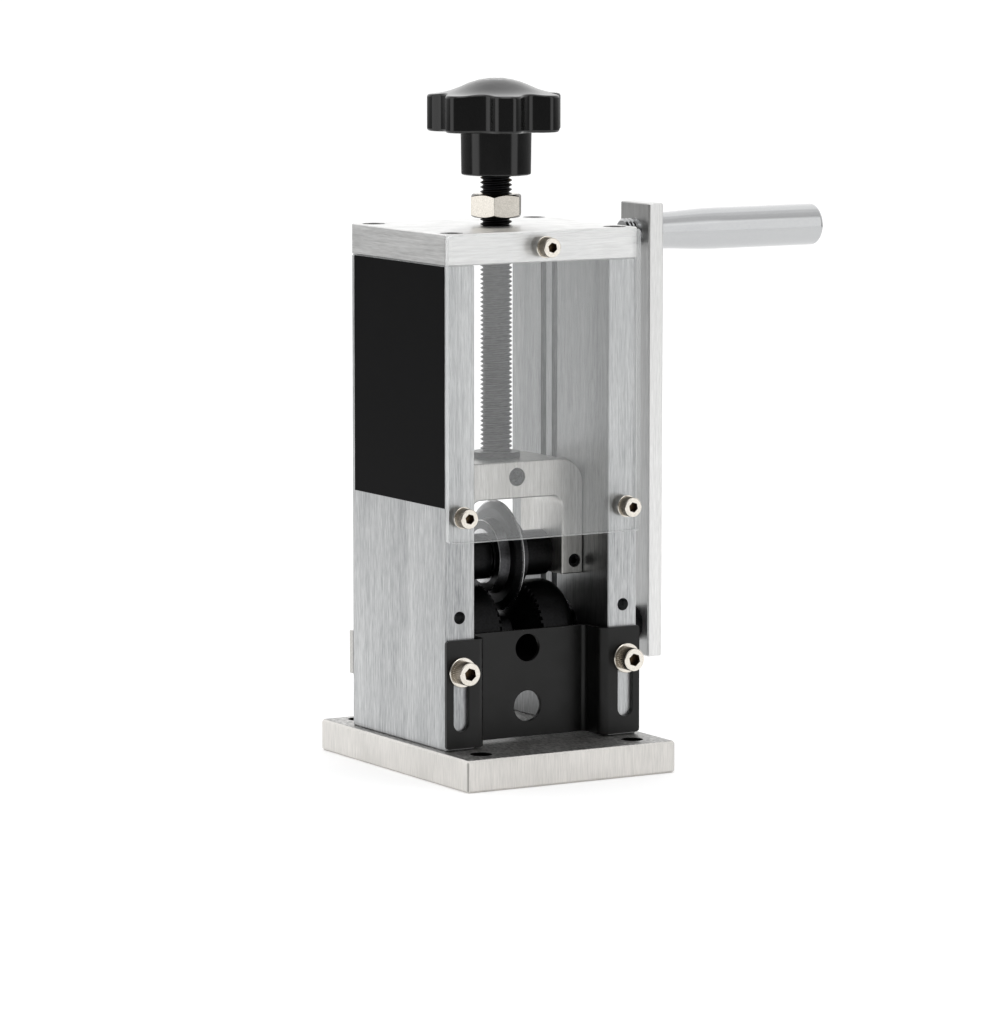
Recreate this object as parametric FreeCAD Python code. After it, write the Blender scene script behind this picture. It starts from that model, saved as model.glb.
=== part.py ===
import FreeCAD, Part
import math
import os
from collections import namedtuple
from FreeCAD import Vector

# Hand crank wire stripper: a round blade in a sliding yoke is pressed on a grooved
# feed roller by a threaded rod with a star knob, and a hand crank turns the roller.
#
# Millimetres. +X is right, +Y is back, +Z is up.  The origin is the centre of the
# base plate's bottom face.  The wire runs along Y, the roller and blade turn about X.

X_AXIS = Vector(1, 0, 0)
Y_AXIS = Vector(0, 1, 0)
Z_AXIS = Vector(0, 0, 1)
FORWARD = Vector(0, -1, 0)
DOWN = Vector(0, 0, -1)
SIDES = (-1, 1)

ScrewSize = namedtuple("ScrewSize", "radius head_radius head_height socket socket_depth")
BearingSize = namedtuple("BearingSize", "bore_radius outer_radius width ball_radius land ball_count")

# ------------------------------------------------------------------ clearances
FACE_GAP = 0.05            # between flat faces that slide on each other
RUNNING_GAP = 0.08         # radial, round fits that turn
SLIP_GAP = 0.03            # radial, round fits that are clamped or pressed
SCREW_GAP = 0.05           # radial, screw in its own thread
SHANK_GAP = 0.25           # radial, screw through a plain hole
BALL_GAP = 0.10            # ball to its raceway
SHIELD_GAP = 0.30          # bearing shield to the inner ring
END_GAP = 0.30             # end of a turning part to the face beside it
YOKE_SIDE_GAP = 0.10       # yoke to each side plate
SAME_PLACE = 0.01          # coordinates closer than this are one place

# ----------------------------------------------------------------- plate frame
FRAME_HALF_WIDTH = 48.0
FRAME_CENTRE_Y = 2.0
SIDE_THICK = 14.5
SIDE_DEPTH = 82.0
SIDE_HEIGHT = 208.5
TOP_THICK = 13.5
PLATE_EDGE = 0.5

BASE_MARGIN = 4.2          # base plate past the side plates
BASE_DEPTH = 130.0
BASE_THICK = 14.0
BASE_EDGE = 1.0
BOLT_HOLE_R = 4.75
BOLT_SIDE_INSET = 14.2
BOLT_FRONT_INSET = 13.0
BOLT_BACK_INSET = 9.0

M5_R = 2.5
M5_HEAD_R = 4.25
M5_HEAD_HEIGHT = 5.0
M5_SOCKET = 4.0
M5_SOCKET_DEPTH = 2.5
M6_R = 3.0
M6_HEAD_R = 5.0
M6_HEAD_HEIGHT = 6.0
M6_SOCKET = 5.0
M6_SOCKET_DEPTH = 3.2
LOW_HEAD_HEIGHT = 1.8
LOW_HEAD_SOCKET = 3.0
LOW_HEAD_SOCKET_DEPTH = 1.2
HEAD_EDGE = 0.5
COUNTERBORE_GAP = 0.75
COUNTERBORE_SINK = 0.5
BASE_SCREW_INSET = 17.0
BASE_SCREW_LENGTH = 20.0
TOP_SCREW_INSET = 7.0
TOP_SCREW_LENGTH = 20.0
TAP_EXTRA = 2.0            # depth of a tapped hole past its screw's end

SPARE_HOLE_R = 2.75
SPARE_HOLE_INSET = 6.9
SPARE_HOLE_RISE = 57.5
SPARE_HOLE_DEPTH = 14.0

# ------------------------------------------------------- clear shield and label
SHIELD_THICK = 3.0
SHIELD_RISE = 89.8
SHIELD_TOP_INSET = 0.5
SHIELD_CORNER = 2.0
SHIELD_SCREW_INSET = 7.0
SHIELD_SCREW_RISE = 11.2
SHIELD_SPACER_R = 4.75
SHIELD_SPACER_THICK = 0.8
SHIELD_SCREW_LENGTH = 16.0

LABEL_THICK = 0.4
LABEL_FRONT_INSET = 0.6
LABEL_BACK_INSET = 3.0
LABEL_RISE = 105.0
LABEL_TOP_INSET = 0.2

# ------------------------------------------------------------------- drive line
SHAFT_RISE = 42.5
SHAFT_R = 7.5
SHAFT_EDGE = 0.6
SHAFT_PROUD = 0.5
SHAFT_SOCKET = 8.0
SHAFT_SOCKET_DEPTH = 12.0
SHAFT_BEARING_RING = 6.5   # bearing's outer radius past the shaft's
SHAFT_BEARING_WIDTH = 7.0
SHAFT_BALL_R = 2.0
SHAFT_RING_LAND = 1.3
POCKET_RELIEF = 0.5
POCKET_LIP = 3.0
SHAFT_HOLE_GAP = 1.0

ROLLER_R = 23.0
ROLLER_SIDE_GAP = 5.5
ROLLER_END_ROUND = 5.0
GROOVE_WALL = 2.0
GROOVE_FLOOR_HALF = 3.0
GROOVE_MOUTH_HALF = 10.0
NOTCH_COUNT = 48
NOTCH_DEPTH = 1.5
NOTCH_END = 1.0
NOTCH_FLANK_DEG = 30.0
ROLLER_SCREW_INSET = 9.0
SET_SCREW_R = 3.0
SET_SCREW_SOCKET = 3.0
SET_SCREW_SOCKET_DEPTH = 2.5
SET_SCREW_SINK = 1.0
SHAFT_SPACER_WALL = 1.7
SHAFT_SPACER_LENGTH = 8.0

# ------------------------------------------------------------------- wire guide
GUIDE_SHEET = 2.0
GUIDE_OVERHANG = 0.6
GUIDE_WEB_GAP = 2.5
GUIDE_ROLLER_GAP = 2.05
GUIDE_BOTTOM_GAP = 1.0
GUIDE_HEIGHT = 47.0
GUIDE_BEND = 2.0
GUIDE_CORNER = 1.5
UPPER_WIRE_R = 6.0
UPPER_WIRE_RISE = 39.0
LOWER_WIRE_R = 6.75
LOWER_WIRE_RISE = 13.4
GUIDE_SCREW_INSET = 6.7
GUIDE_SCREW_RISE = 34.2
GUIDE_SCREW_LENGTH = 16.0
SLOT_HALF_WIDTH = 3.75
SLOT_BOTTOM_RISE = 7.4
SLOT_TOP_RISE = 37.9
WASHER_R = 6.5
WASHER_THICK = 1.6

# ---------------------------------------------------------------- rear wire rest
REST_THICK = 3.5
REST_RISE = 23.0
REST_HEIGHT = 19.0
REST_SCREW_LENGTH = 14.0

# ------------------------------------------------------------------ crank handle
ARM_STANDOFF = 23.0
ARM_THICK = 7.5
ARM_HALF_WIDTH = 12.0
ARM_EDGE = 0.6
CRANK_RADIUS = 174.2
ARM_BELOW_SHAFT = 14.1
ARM_ABOVE_HANDLE = 13.0
ARM_SCREW_R = 2.5
ARM_SCREW_SOCKET = 2.5
STUD_R = 6.0
STUD_THREAD_DEPTH = 0.9
STUD_PITCH = 1.75
STUD_CREST_FLAT = STUD_PITCH / 8
STUD_PROUD = 6.7
GRIP_LENGTH = 86.5
GRIP_NECK_R = 8.0
GRIP_NECK_WALL = 2.92
GRIP_R = 9.2
GRIP_END_WALL = 2.4
GRIP_SWELL_LENGTH = 34.2
GRIP_END_ROUND = 1.5
GRIP_COUNTERBORE_GAP = 0.3
SPINDLE_HEAD_LENGTH = 5.0
SPINDLE_SOCKET = 6.0
SPINDLE_SOCKET_DEPTH = 3.0
SPINDLE_HEAD_SINK = 2.3

# ------------------------------------------------------------- blade and its axle
BLADE_R = 24.3
BLADE_GAP = 1.2
BLADE_BEVEL = 3.5
BLADE_HALF_THICK = 2.4
BLADE_EDGE_HALF = 0.1
AXLE_R = 6.0
AXLE_END_INSET = 0.2
BLADE_BEARING_RING = 6.0   # bearing's outer radius past the axle's
BLADE_BEARING_WIDTH = 6.0
BLADE_BALL_R = 1.7
BLADE_RING_LAND = 1.105
BLADE_BEARING_SPLIT = 2.4
BLADE_SHOULDER = 1.4
BOSS_FOOT_WALL = 4.5
BOSS_END_WALL = 3.9
BOSS_PROUD = 0.1
BLADE_SPACER_WALL = 4.0
BLADE_SPACER_NOSE_WALL = 1.6
BEARING_SHIELD_THICK = 0.4
BALL_COUNT = 10

# ------------------------------------------------------------------------- yoke
YOKE_HALF_DEPTH = 18.0
YOKE_BELOW_AXLE = 8.0
YOKE_CROWN_GAP = 2.5
YOKE_CROSSBAR = 16.2
YOKE_LEG = 10.4
YOKE_SHOULDER = 11.5
YOKE_INNER_ROUND = 5.0
YOKE_EDGE = 0.5
YOKE_SCREW_R = 4.0
YOKE_SCREW_DROP = 6.8
YOKE_SCREW_SINK = 1.5
YOKE_SCREW_SOCKET = 4.0
YOKE_SCREW_SOCKET_DEPTH = 4.0
YOKE_SCREW_TIP_R = 2.0
YOKE_SCREW_TIP_EXTRA = 0.52
LEG_SCREW_INSET = 4.2
LEG_SCREW_DROP = 2.3
FRONT_RAIL_Y = 6.2
BACK_RAIL_Y = 15.6
RAIL_WIDTH = 4.3
RAIL_HEIGHT = 3.1
RAIL_SIDE_GAP = 0.15
RAIL_TIP_GAP = 0.5
RAIL_SLOT_RISE = 1.5       # bottom of the rail slots above the bearing pocket

# ---------------------------------------------------- pressure rod, nut and knob
ROD_CREST_R = 6.9
ROD_THREAD_DEPTH = 1.15
ROD_PITCH = 2.0
ROD_CREST_FLAT = 0.3
ROD_THREAD_GAP = 0.1
ROD_BORE_EDGE = 0.8
FLANGE_R = 10.5
FLANGE_THICK = 2.8
SPIGOT_R = 5.0
SPIGOT_END_INSET = 1.25
SPIGOT_GROOVE_DEPTH = 1.4
SPIGOT_GROOVE_GAP = 0.2
SPIGOT_TIP_GAP = 0.1

NUT_ACROSS_FLATS = 21.0
NUT_HEIGHT = 10.2
NUT_RISE = 3.6
NUT_CORNER_DEG = 49.2
NUT_CHAMFER = 1.2

KNOB_RISE = 22.0
HUB_HEIGHT = 19.0
HUB_BOTTOM_R = 15.15
HUB_TOP_R = 15.4
KNOB_R = 30.0
KNOB_LOBES = 7
LOBE_END_R = 7.0
FLUTE_MIN_R = 24.0
FIRST_LOBE_DEG = -109.5
LOBE_BAND = 16.0
DOME_RISE = 7.0
KNOB_EDGE = 1.2
INSERT_WALL = 2.6
ROD_END_INSET = 1.0

# ------------------------------------------------------- screw and bearing sizes
M5 = ScrewSize(M5_R, M5_HEAD_R, M5_HEAD_HEIGHT, M5_SOCKET, M5_SOCKET_DEPTH)
M6 = ScrewSize(M6_R, M6_HEAD_R, M6_HEAD_HEIGHT, M6_SOCKET, M6_SOCKET_DEPTH)
M6_LOW = ScrewSize(M6_R, M6_HEAD_R, LOW_HEAD_HEIGHT, LOW_HEAD_SOCKET, LOW_HEAD_SOCKET_DEPTH)
SHAFT_BEARING = BearingSize(
    SHAFT_R, SHAFT_R + SHAFT_BEARING_RING, SHAFT_BEARING_WIDTH, SHAFT_BALL_R, SHAFT_RING_LAND, BALL_COUNT
)
BLADE_BEARING = BearingSize(
    AXLE_R, AXLE_R + BLADE_BEARING_RING, BLADE_BEARING_WIDTH, BLADE_BALL_R, BLADE_RING_LAND, BALL_COUNT
)

# --------------------------------------------------------------- derived places
SIDE_INNER_X = FRAME_HALF_WIDTH - SIDE_THICK
PLATE_MID_X = FRAME_HALF_WIDTH - SIDE_THICK / 2
FRONT_Y = FRAME_CENTRE_Y - SIDE_DEPTH / 2
BACK_Y = FRAME_CENTRE_Y + SIDE_DEPTH / 2
SIDE_TOP_Z = BASE_THICK + SIDE_HEIGHT
TOP_Z = SIDE_TOP_Z + TOP_THICK
BASE_HALF_WIDTH = FRAME_HALF_WIDTH + BASE_MARGIN
SHIELD_BOTTOM_Z = BASE_THICK + SHIELD_RISE
GUIDE_BOTTOM_Z = BASE_THICK + GUIDE_BOTTOM_GAP
GUIDE_SCREW_X = FRAME_HALF_WIDTH - GUIDE_SCREW_INSET
GUIDE_SCREW_Z = BASE_THICK + GUIDE_SCREW_RISE
REST_BOTTOM_Z = BASE_THICK + REST_RISE

SHAFT_Z = BASE_THICK + SHAFT_RISE
ROLLER_HALF = SIDE_INNER_X - ROLLER_SIDE_GAP
GROOVE_FLOOR_R = SHAFT_R + GROOVE_WALL
SHAFT_BEARING_X = ROLLER_HALF + SHAFT_SPACER_LENGTH + SHAFT_BEARING_WIDTH / 2
POCKET_END_X = SHAFT_BEARING_X + SHAFT_BEARING_WIDTH / 2
ARM_INNER_X = FRAME_HALF_WIDTH + ARM_STANDOFF
ARM_OUTER_X = ARM_INNER_X + ARM_THICK
HANDLE_Z = SHAFT_Z + CRANK_RADIUS
GRIP_COUNTERBORE_R = GRIP_R - GRIP_END_WALL
SPINDLE_HEAD_R = GRIP_COUNTERBORE_R - GRIP_COUNTERBORE_GAP
SPINDLE_R = GRIP_NECK_R - GRIP_NECK_WALL - RUNNING_GAP

AXLE_Z = SHAFT_Z + GROOVE_FLOOR_R + BLADE_GAP + BLADE_R
YOKE_BOTTOM_Z = AXLE_Z - YOKE_BELOW_AXLE
OPENING_TOP_Z = AXLE_Z + BLADE_R + YOKE_CROWN_GAP
YOKE_TOP_Z = OPENING_TOP_Z + YOKE_CROSSBAR
YOKE_HALF_WIDTH = SIDE_INNER_X - YOKE_SIDE_GAP
YOKE_OPENING_HALF = YOKE_HALF_WIDTH - YOKE_LEG
YOKE_SCREW_Z = YOKE_TOP_Z - YOKE_SCREW_DROP
BLADE_SPACER_NOSE_R = AXLE_R + BLADE_SPACER_NOSE_WALL
BOSS_HALF_LENGTH = BLADE_BEARING_SPLIT / 2 + BLADE_BEARING_WIDTH + BOSS_PROUD

FLANGE_BOTTOM_Z = YOKE_TOP_Z + FACE_GAP
FLANGE_TOP_Z = FLANGE_BOTTOM_Z + FLANGE_THICK
SPIGOT_GROOVE_R = SPIGOT_R - SPIGOT_GROOVE_DEPTH
SPIGOT_GROOVE_HALF = YOKE_SCREW_TIP_R + SPIGOT_GROOVE_GAP
NUT_BOTTOM_Z = TOP_Z + NUT_RISE
HUB_BOTTOM_Z = TOP_Z + KNOB_RISE
LOBE_BOTTOM_Z = HUB_BOTTOM_Z + HUB_HEIGHT
LOBE_TOP_Z = LOBE_BOTTOM_Z + LOBE_BAND
INSERT_ACROSS_FLATS = 2 * (ROD_CREST_R + INSERT_WALL)
ROD_END_Z = LOBE_BOTTOM_Z - ROD_END_INSET


# ---------------------------------------------------------------- small helpers
def block(x_ends, y_ends, z_ends):
    """Box between the two ends given for each axis."""
    size_x = x_ends[1] - x_ends[0]
    size_y = y_ends[1] - y_ends[0]
    size_z = z_ends[1] - z_ends[0]
    return Part.makeBox(size_x, size_y, size_z, Vector(x_ends[0], y_ends[0], z_ends[0]))


def across(side, near, far):
    """Ends of a span on one side of the middle, in rising order."""
    return tuple(sorted((side * near, side * far)))


def cylinder(radius, start, direction, length):
    return Part.makeCylinder(radius, length, start, direction)


def aimed(shape, position, direction):
    """A shape modelled up from the origin, turned to a direction and set in place."""
    placed = shape.copy()
    placed.Placement = FreeCAD.Placement(position, FreeCAD.Rotation(Z_AXIS, direction))
    return placed


def hexagon(across_flats, length, corner_deg=0.0):
    """Six-sided prism up from the origin."""
    corner_r = across_flats / 2 / math.cos(math.pi / 6)
    corners = []
    for index in range(7):
        angle = math.radians(corner_deg + 60 * index)
        corners.append(Vector(corner_r * math.cos(angle), corner_r * math.sin(angle), 0))
    return Part.Face(Part.makePolygon(corners)).extrude(Vector(0, 0, length))


def turned(edges, axis_point, axis):
    """Solid of revolution of a closed outline of edges."""
    solid = Part.Face(Part.Wire(edges)).revolve(axis_point, axis, 360)
    if solid.Volume < 0:
        solid.reverse()
    return solid


def turned_x(outline, axis_z):
    """Solid turned about X at a height, from (along, radius) pairs."""
    points = [Vector(along, 0, axis_z + radius) for along, radius in outline]
    closed = Part.makePolygon(points + points[:1])
    return turned(closed.Edges, Vector(0, 0, axis_z), X_AXIS)


def turned_z(outline):
    """Solid turned about the vertical through the origin, from (radius, height) pairs."""
    points = [Vector(radius, 0, height) for radius, height in outline]
    closed = Part.makePolygon(points + points[:1])
    return turned(closed.Edges, Vector(0, 0, 0), Z_AXIS)


def mirrored_x(shape):
    return shape.mirror(Vector(0, 0, 0), X_AXIS)


def level_edges(shape, axis, value):
    """Edges that lie flat in the plane where an axis has this value."""
    found = []
    for edge in shape.Edges:
        ends = (getattr(edge.BoundBox, axis + "Min"), getattr(edge.BoundBox, axis + "Max"))
        if max(abs(end - value) for end in ends) < SAME_PLACE:
            found.append(edge)
    return found


def straight_edges(shape, direction):
    """Straight edges along a direction."""
    found = []
    for edge in shape.Edges:
        if isinstance(edge.Curve, Part.Line):
            if abs(edge.Curve.Direction.dot(direction)) > 0.999:
                found.append(edge)
    return found


def cap_screw(size, seat, direction, length):
    """Socket cap screw: its head stands on the seat, its shank goes the other way."""
    head = Part.makeCylinder(size.head_radius, size.head_height)
    head = head.makeChamfer(HEAD_EDGE, level_edges(head, "Z", size.head_height))
    shank = Part.makeCylinder(size.radius - SCREW_GAP, length, Vector(0, 0, -length))
    socket = hexagon(size.socket, size.socket_depth)
    socket.translate(Vector(0, 0, size.head_height - size.socket_depth))
    return aimed(head.fuse(shank).cut(socket).Solids[0], seat, direction)


def set_screw(radius, socket, socket_depth, start, direction, length, tip_radius=0.0, tip_length=0.0):
    """Headless screw from its socket end, with a thinner tip where one is given."""
    body = Part.makeCylinder(radius - SCREW_GAP, length - tip_length)
    if tip_length > 0:
        tip = Part.makeCylinder(tip_radius, tip_length, Vector(0, 0, length - tip_length))
        body = body.fuse(tip)
    body = body.cut(hexagon(socket, socket_depth))
    return aimed(body.Solids[0], start, direction)


def thread_rings(start, end, pitch, root, crest, flat):
    """(along, radius) pairs of a ring thread that starts and ends at its root."""
    count = int((end - start) / pitch)
    outline = []
    for index in range(count):
        foot = start + index * pitch
        outline.append((foot, root))
        outline.append((foot + (pitch - flat) / 2, crest))
        outline.append((foot + (pitch + flat) / 2, crest))
    outline.append((start + count * pitch, root))
    outline.append((end, root))
    return outline


def bearing(size, centre_x, axis_z):
    """Shielded ball bearing about X: its inner ring, outer ring and balls."""
    pitch_r = (size.bore_radius + size.outer_radius) / 2
    inner_r = pitch_r - size.land
    outer_r = pitch_r + size.land
    half = size.width / 2
    race = Part.makeTorus(pitch_r, size.ball_radius + BALL_GAP, Vector(centre_x, 0, axis_z), X_AXIS)
    inner_outline = [
        (centre_x - half, size.bore_radius + SLIP_GAP),
        (centre_x + half, size.bore_radius + SLIP_GAP),
        (centre_x + half, inner_r),
        (centre_x - half, inner_r),
    ]
    outer_outline = [
        (centre_x - half, size.outer_radius),
        (centre_x + half, size.outer_radius),
        (centre_x + half, inner_r + SHIELD_GAP),
        (centre_x + half - BEARING_SHIELD_THICK, inner_r + SHIELD_GAP),
        (centre_x + half - BEARING_SHIELD_THICK, outer_r),
        (centre_x - half + BEARING_SHIELD_THICK, outer_r),
        (centre_x - half + BEARING_SHIELD_THICK, inner_r + SHIELD_GAP),
        (centre_x - half, inner_r + SHIELD_GAP),
    ]
    inner_ring = turned_x(inner_outline, axis_z).cut(race).Solids[0]
    outer_ring = turned_x(outer_outline, axis_z).cut(race).Solids[0]
    balls = []
    for index in range(size.ball_count):
        angle = 2 * math.pi * index / size.ball_count
        centre = Vector(centre_x, pitch_r * math.sin(angle), axis_z + pitch_r * math.cos(angle))
        balls.append(Part.makeSphere(size.ball_radius, centre))
    return inner_ring, outer_ring, balls


def save(node, solids):
    """Write one sub-part, a single solid or a group of like solids, to its own file."""
    if len(solids) == 1:
        shape = solids[0]
    else:
        shape = Part.makeCompound(solids)
    shape.exportStep("parts/" + node + ".step")
    valid = all(solid.isValid() for solid in shape.Solids)
    volume = sum(solid.Volume for solid in shape.Solids)
    print(f"{node:28s} solids {len(shape.Solids):3d}  valid {valid}  volume {volume:10.1f}")


# ------------------------------------------------------------------ frame plates
def plate_screw_places(inset):
    """(x, y) of the screws into the side plates, at an inset from their front and back."""
    y_places = (FRONT_Y + inset, BACK_Y - inset)
    return [(side * PLATE_MID_X, place_y) for side in SIDES for place_y in y_places]


def counterbored(plate, size, places, face_z, into, depth):
    """Cut a stepped screw hole, from a face into the plate, at each place."""
    head_depth = size.head_height + COUNTERBORE_SINK
    for place_x, place_y in places:
        start = Vector(place_x, place_y, face_z)
        plate = plate.cut(cylinder(size.head_radius + COUNTERBORE_GAP, start, into, head_depth))
        plate = plate.cut(cylinder(size.radius + SHANK_GAP, start, into, depth))
    return plate


def make_base_plate():
    half_y = BASE_DEPTH / 2
    plate = block((-BASE_HALF_WIDTH, BASE_HALF_WIDTH), (-half_y, half_y), (0, BASE_THICK))
    plate = plate.makeChamfer(BASE_EDGE, plate.Edges)
    for side in SIDES:
        for hole_y in (-half_y + BOLT_FRONT_INSET, half_y - BOLT_BACK_INSET):
            hole_x = side * (BASE_HALF_WIDTH - BOLT_SIDE_INSET)
            plate = plate.cut(cylinder(BOLT_HOLE_R, Vector(hole_x, hole_y, 0), Z_AXIS, BASE_THICK))
    places = plate_screw_places(BASE_SCREW_INSET)
    plate = counterbored(plate, M6, places, 0, Z_AXIS, BASE_THICK)
    save("base_plate", plate.Solids)


def make_side_plate(side, node):
    inner_to_outer = across(side, SIDE_INNER_X, FRAME_HALF_WIDTH)
    plate = block(inner_to_outer, (FRONT_Y, BACK_Y), (BASE_THICK, SIDE_TOP_Z))
    plate = plate.makeChamfer(PLATE_EDGE, plate.Edges)

    # bearing pocket from the inner face, with a relief behind the bearing's inner ring
    inward_face = Vector(side * SIDE_INNER_X, 0, SHAFT_Z)
    outward = Vector(side, 0, 0)
    pocket_depth = POCKET_END_X - SIDE_INNER_X
    pocket_r = SHAFT_BEARING.outer_radius + SLIP_GAP
    plate = plate.cut(cylinder(pocket_r, inward_face, outward, pocket_depth))
    relief_r = SHAFT_BEARING.outer_radius - POCKET_LIP
    plate = plate.cut(cylinder(relief_r, inward_face, outward, pocket_depth + POCKET_RELIEF))
    if side > 0:
        plate = plate.cut(cylinder(SHAFT_R + SHAFT_HOLE_GAP, inward_face, outward, SIDE_THICK))

    # slots for the yoke's guide rails, open at the top
    slot_bottom_z = SHAFT_Z + SHAFT_BEARING.outer_radius + RAIL_SLOT_RISE
    for rail_y in (FRONT_RAIL_Y, BACK_RAIL_Y):
        half = RAIL_WIDTH / 2 + RAIL_SIDE_GAP
        slot_depth = across(side, SIDE_INNER_X, YOKE_HALF_WIDTH + RAIL_HEIGHT + RAIL_TIP_GAP)
        slot_z = (slot_bottom_z, SIDE_TOP_Z)
        plate = plate.cut(block(slot_depth, (rail_y - half, rail_y + half), slot_z))

    # tapped holes: front face, bottom, top and back face
    shield_grip = SHIELD_THICK + SHIELD_SPACER_THICK
    guide_grip = GUIDE_SHEET + WASHER_THICK
    shield_hole = SHIELD_SCREW_LENGTH - shield_grip + TAP_EXTRA
    guide_hole = GUIDE_SCREW_LENGTH - guide_grip + TAP_EXTRA
    front_holes = [
        (SPARE_HOLE_R, SPARE_HOLE_INSET, BASE_THICK + SPARE_HOLE_RISE, SPARE_HOLE_DEPTH),
        (M5.radius, SHIELD_SCREW_INSET, SHIELD_BOTTOM_Z + SHIELD_SCREW_RISE, shield_hole),
        (M6.radius, GUIDE_SCREW_INSET, GUIDE_SCREW_Z, guide_hole),
    ]
    for radius, inset, hole_z, depth in front_holes:
        hole_x = side * (FRAME_HALF_WIDTH - inset)
        plate = plate.cut(cylinder(radius, Vector(hole_x, FRONT_Y, hole_z), Y_AXIS, depth))
    base_hole = BASE_SCREW_LENGTH - BASE_THICK + M6.head_height + COUNTERBORE_SINK + TAP_EXTRA
    top_hole = TOP_SCREW_LENGTH - TOP_THICK + M5.head_height + COUNTERBORE_SINK + TAP_EXTRA
    for place_x, place_y in plate_screw_places(BASE_SCREW_INSET):
        if place_x * side > 0:
            start = Vector(place_x, place_y, BASE_THICK)
            plate = plate.cut(cylinder(M6.radius, start, Z_AXIS, base_hole))
    for place_x, place_y in plate_screw_places(TOP_SCREW_INSET):
        if place_x * side > 0:
            start = Vector(place_x, place_y, SIDE_TOP_Z)
            plate = plate.cut(cylinder(M5.radius, start, DOWN, top_hole))
    rest_start = Vector(side * PLATE_MID_X, BACK_Y, REST_BOTTOM_Z + REST_HEIGHT / 2)
    rest_hole = REST_SCREW_LENGTH - REST_THICK + TAP_EXTRA
    plate = plate.cut(cylinder(M6_LOW.radius, rest_start, FORWARD, rest_hole))
    save(node, plate.Solids)


def make_top_plate():
    plate = block((-FRAME_HALF_WIDTH, FRAME_HALF_WIDTH), (FRONT_Y, BACK_Y), (SIDE_TOP_Z, TOP_Z))
    plate = plate.makeChamfer(PLATE_EDGE, plate.Edges)
    bore = ROD_CREST_R + ROD_THREAD_GAP
    bore_outline = [
        (0, SIDE_TOP_Z),
        (bore, SIDE_TOP_Z),
        (bore, TOP_Z - ROD_BORE_EDGE),
        (bore + ROD_BORE_EDGE, TOP_Z),
        (0, TOP_Z),
    ]
    plate = plate.cut(turned_z(bore_outline))
    plate = counterbored(plate, M5, plate_screw_places(TOP_SCREW_INSET), TOP_Z, DOWN, TOP_THICK)
    depth = SHIELD_SCREW_LENGTH - SHIELD_THICK - SHIELD_SPACER_THICK + TAP_EXTRA
    hole_start = Vector(0, FRONT_Y, (SIDE_TOP_Z + TOP_Z) / 2)
    plate = plate.cut(cylinder(M5.radius, hole_start, Y_AXIS, depth))
    save("top_plate", plate.Solids)


def make_plate_screws():
    base_seat_z = M6.head_height + COUNTERBORE_SINK
    base_screws = []
    for place_x, place_y in plate_screw_places(BASE_SCREW_INSET):
        base_screws.append(cap_screw(M6, Vector(place_x, place_y, base_seat_z), DOWN, BASE_SCREW_LENGTH))
    save("base_screws", base_screws)
    top_seat_z = TOP_Z - M5.head_height - COUNTERBORE_SINK
    top_screws = []
    for place_x, place_y in plate_screw_places(TOP_SCREW_INSET):
        top_screws.append(cap_screw(M5, Vector(place_x, place_y, top_seat_z), Z_AXIS, TOP_SCREW_LENGTH))
    save("top_screws", top_screws)


# --------------------------------------------------- clear shield and side label
def shield_screw_places():
    """(x, z) of the two lower screws and the one in the middle of the top plate."""
    lower_x = FRAME_HALF_WIDTH - SHIELD_SCREW_INSET
    lower_z = SHIELD_BOTTOM_Z + SHIELD_SCREW_RISE
    return [(-lower_x, lower_z), (lower_x, lower_z), (0.0, (SIDE_TOP_Z + TOP_Z) / 2)]


def make_safety_shield():
    shield_front = FRONT_Y - SHIELD_THICK
    z_ends = (SHIELD_BOTTOM_Z, TOP_Z - SHIELD_TOP_INSET)
    shield = block((-FRAME_HALF_WIDTH, FRAME_HALF_WIDTH), (shield_front, FRONT_Y), z_ends)
    shield = shield.makeFillet(SHIELD_CORNER, straight_edges(shield, Y_AXIS))
    spacers = []
    screws = []
    seat_y = shield_front - SHIELD_SPACER_THICK
    for place_x, place_z in shield_screw_places():
        shield_face = Vector(place_x, shield_front, place_z)
        shield = shield.cut(cylinder(M5.radius + SHANK_GAP, shield_face, Y_AXIS, SHIELD_THICK))
        spacer = cylinder(SHIELD_SPACER_R, shield_face, FORWARD, SHIELD_SPACER_THICK)
        spacers.append(spacer.cut(cylinder(M5.radius, shield_face, FORWARD, SHIELD_SPACER_THICK)))
        screws.append(cap_screw(M5, Vector(place_x, seat_y, place_z), FORWARD, SHIELD_SCREW_LENGTH))
    save("safety_shield", shield.Solids)
    save("shield_spacers", [spacer.Solids[0] for spacer in spacers])
    save("shield_screws", screws)


def make_side_label():
    x_ends = (-FRAME_HALF_WIDTH - LABEL_THICK, -FRAME_HALF_WIDTH)
    y_ends = (FRONT_Y + LABEL_FRONT_INSET, BACK_Y - LABEL_BACK_INSET)
    z_ends = (BASE_THICK + LABEL_RISE, SIDE_TOP_Z - LABEL_TOP_INSET)
    save("side_label", [block(x_ends, y_ends, z_ends)])


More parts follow.
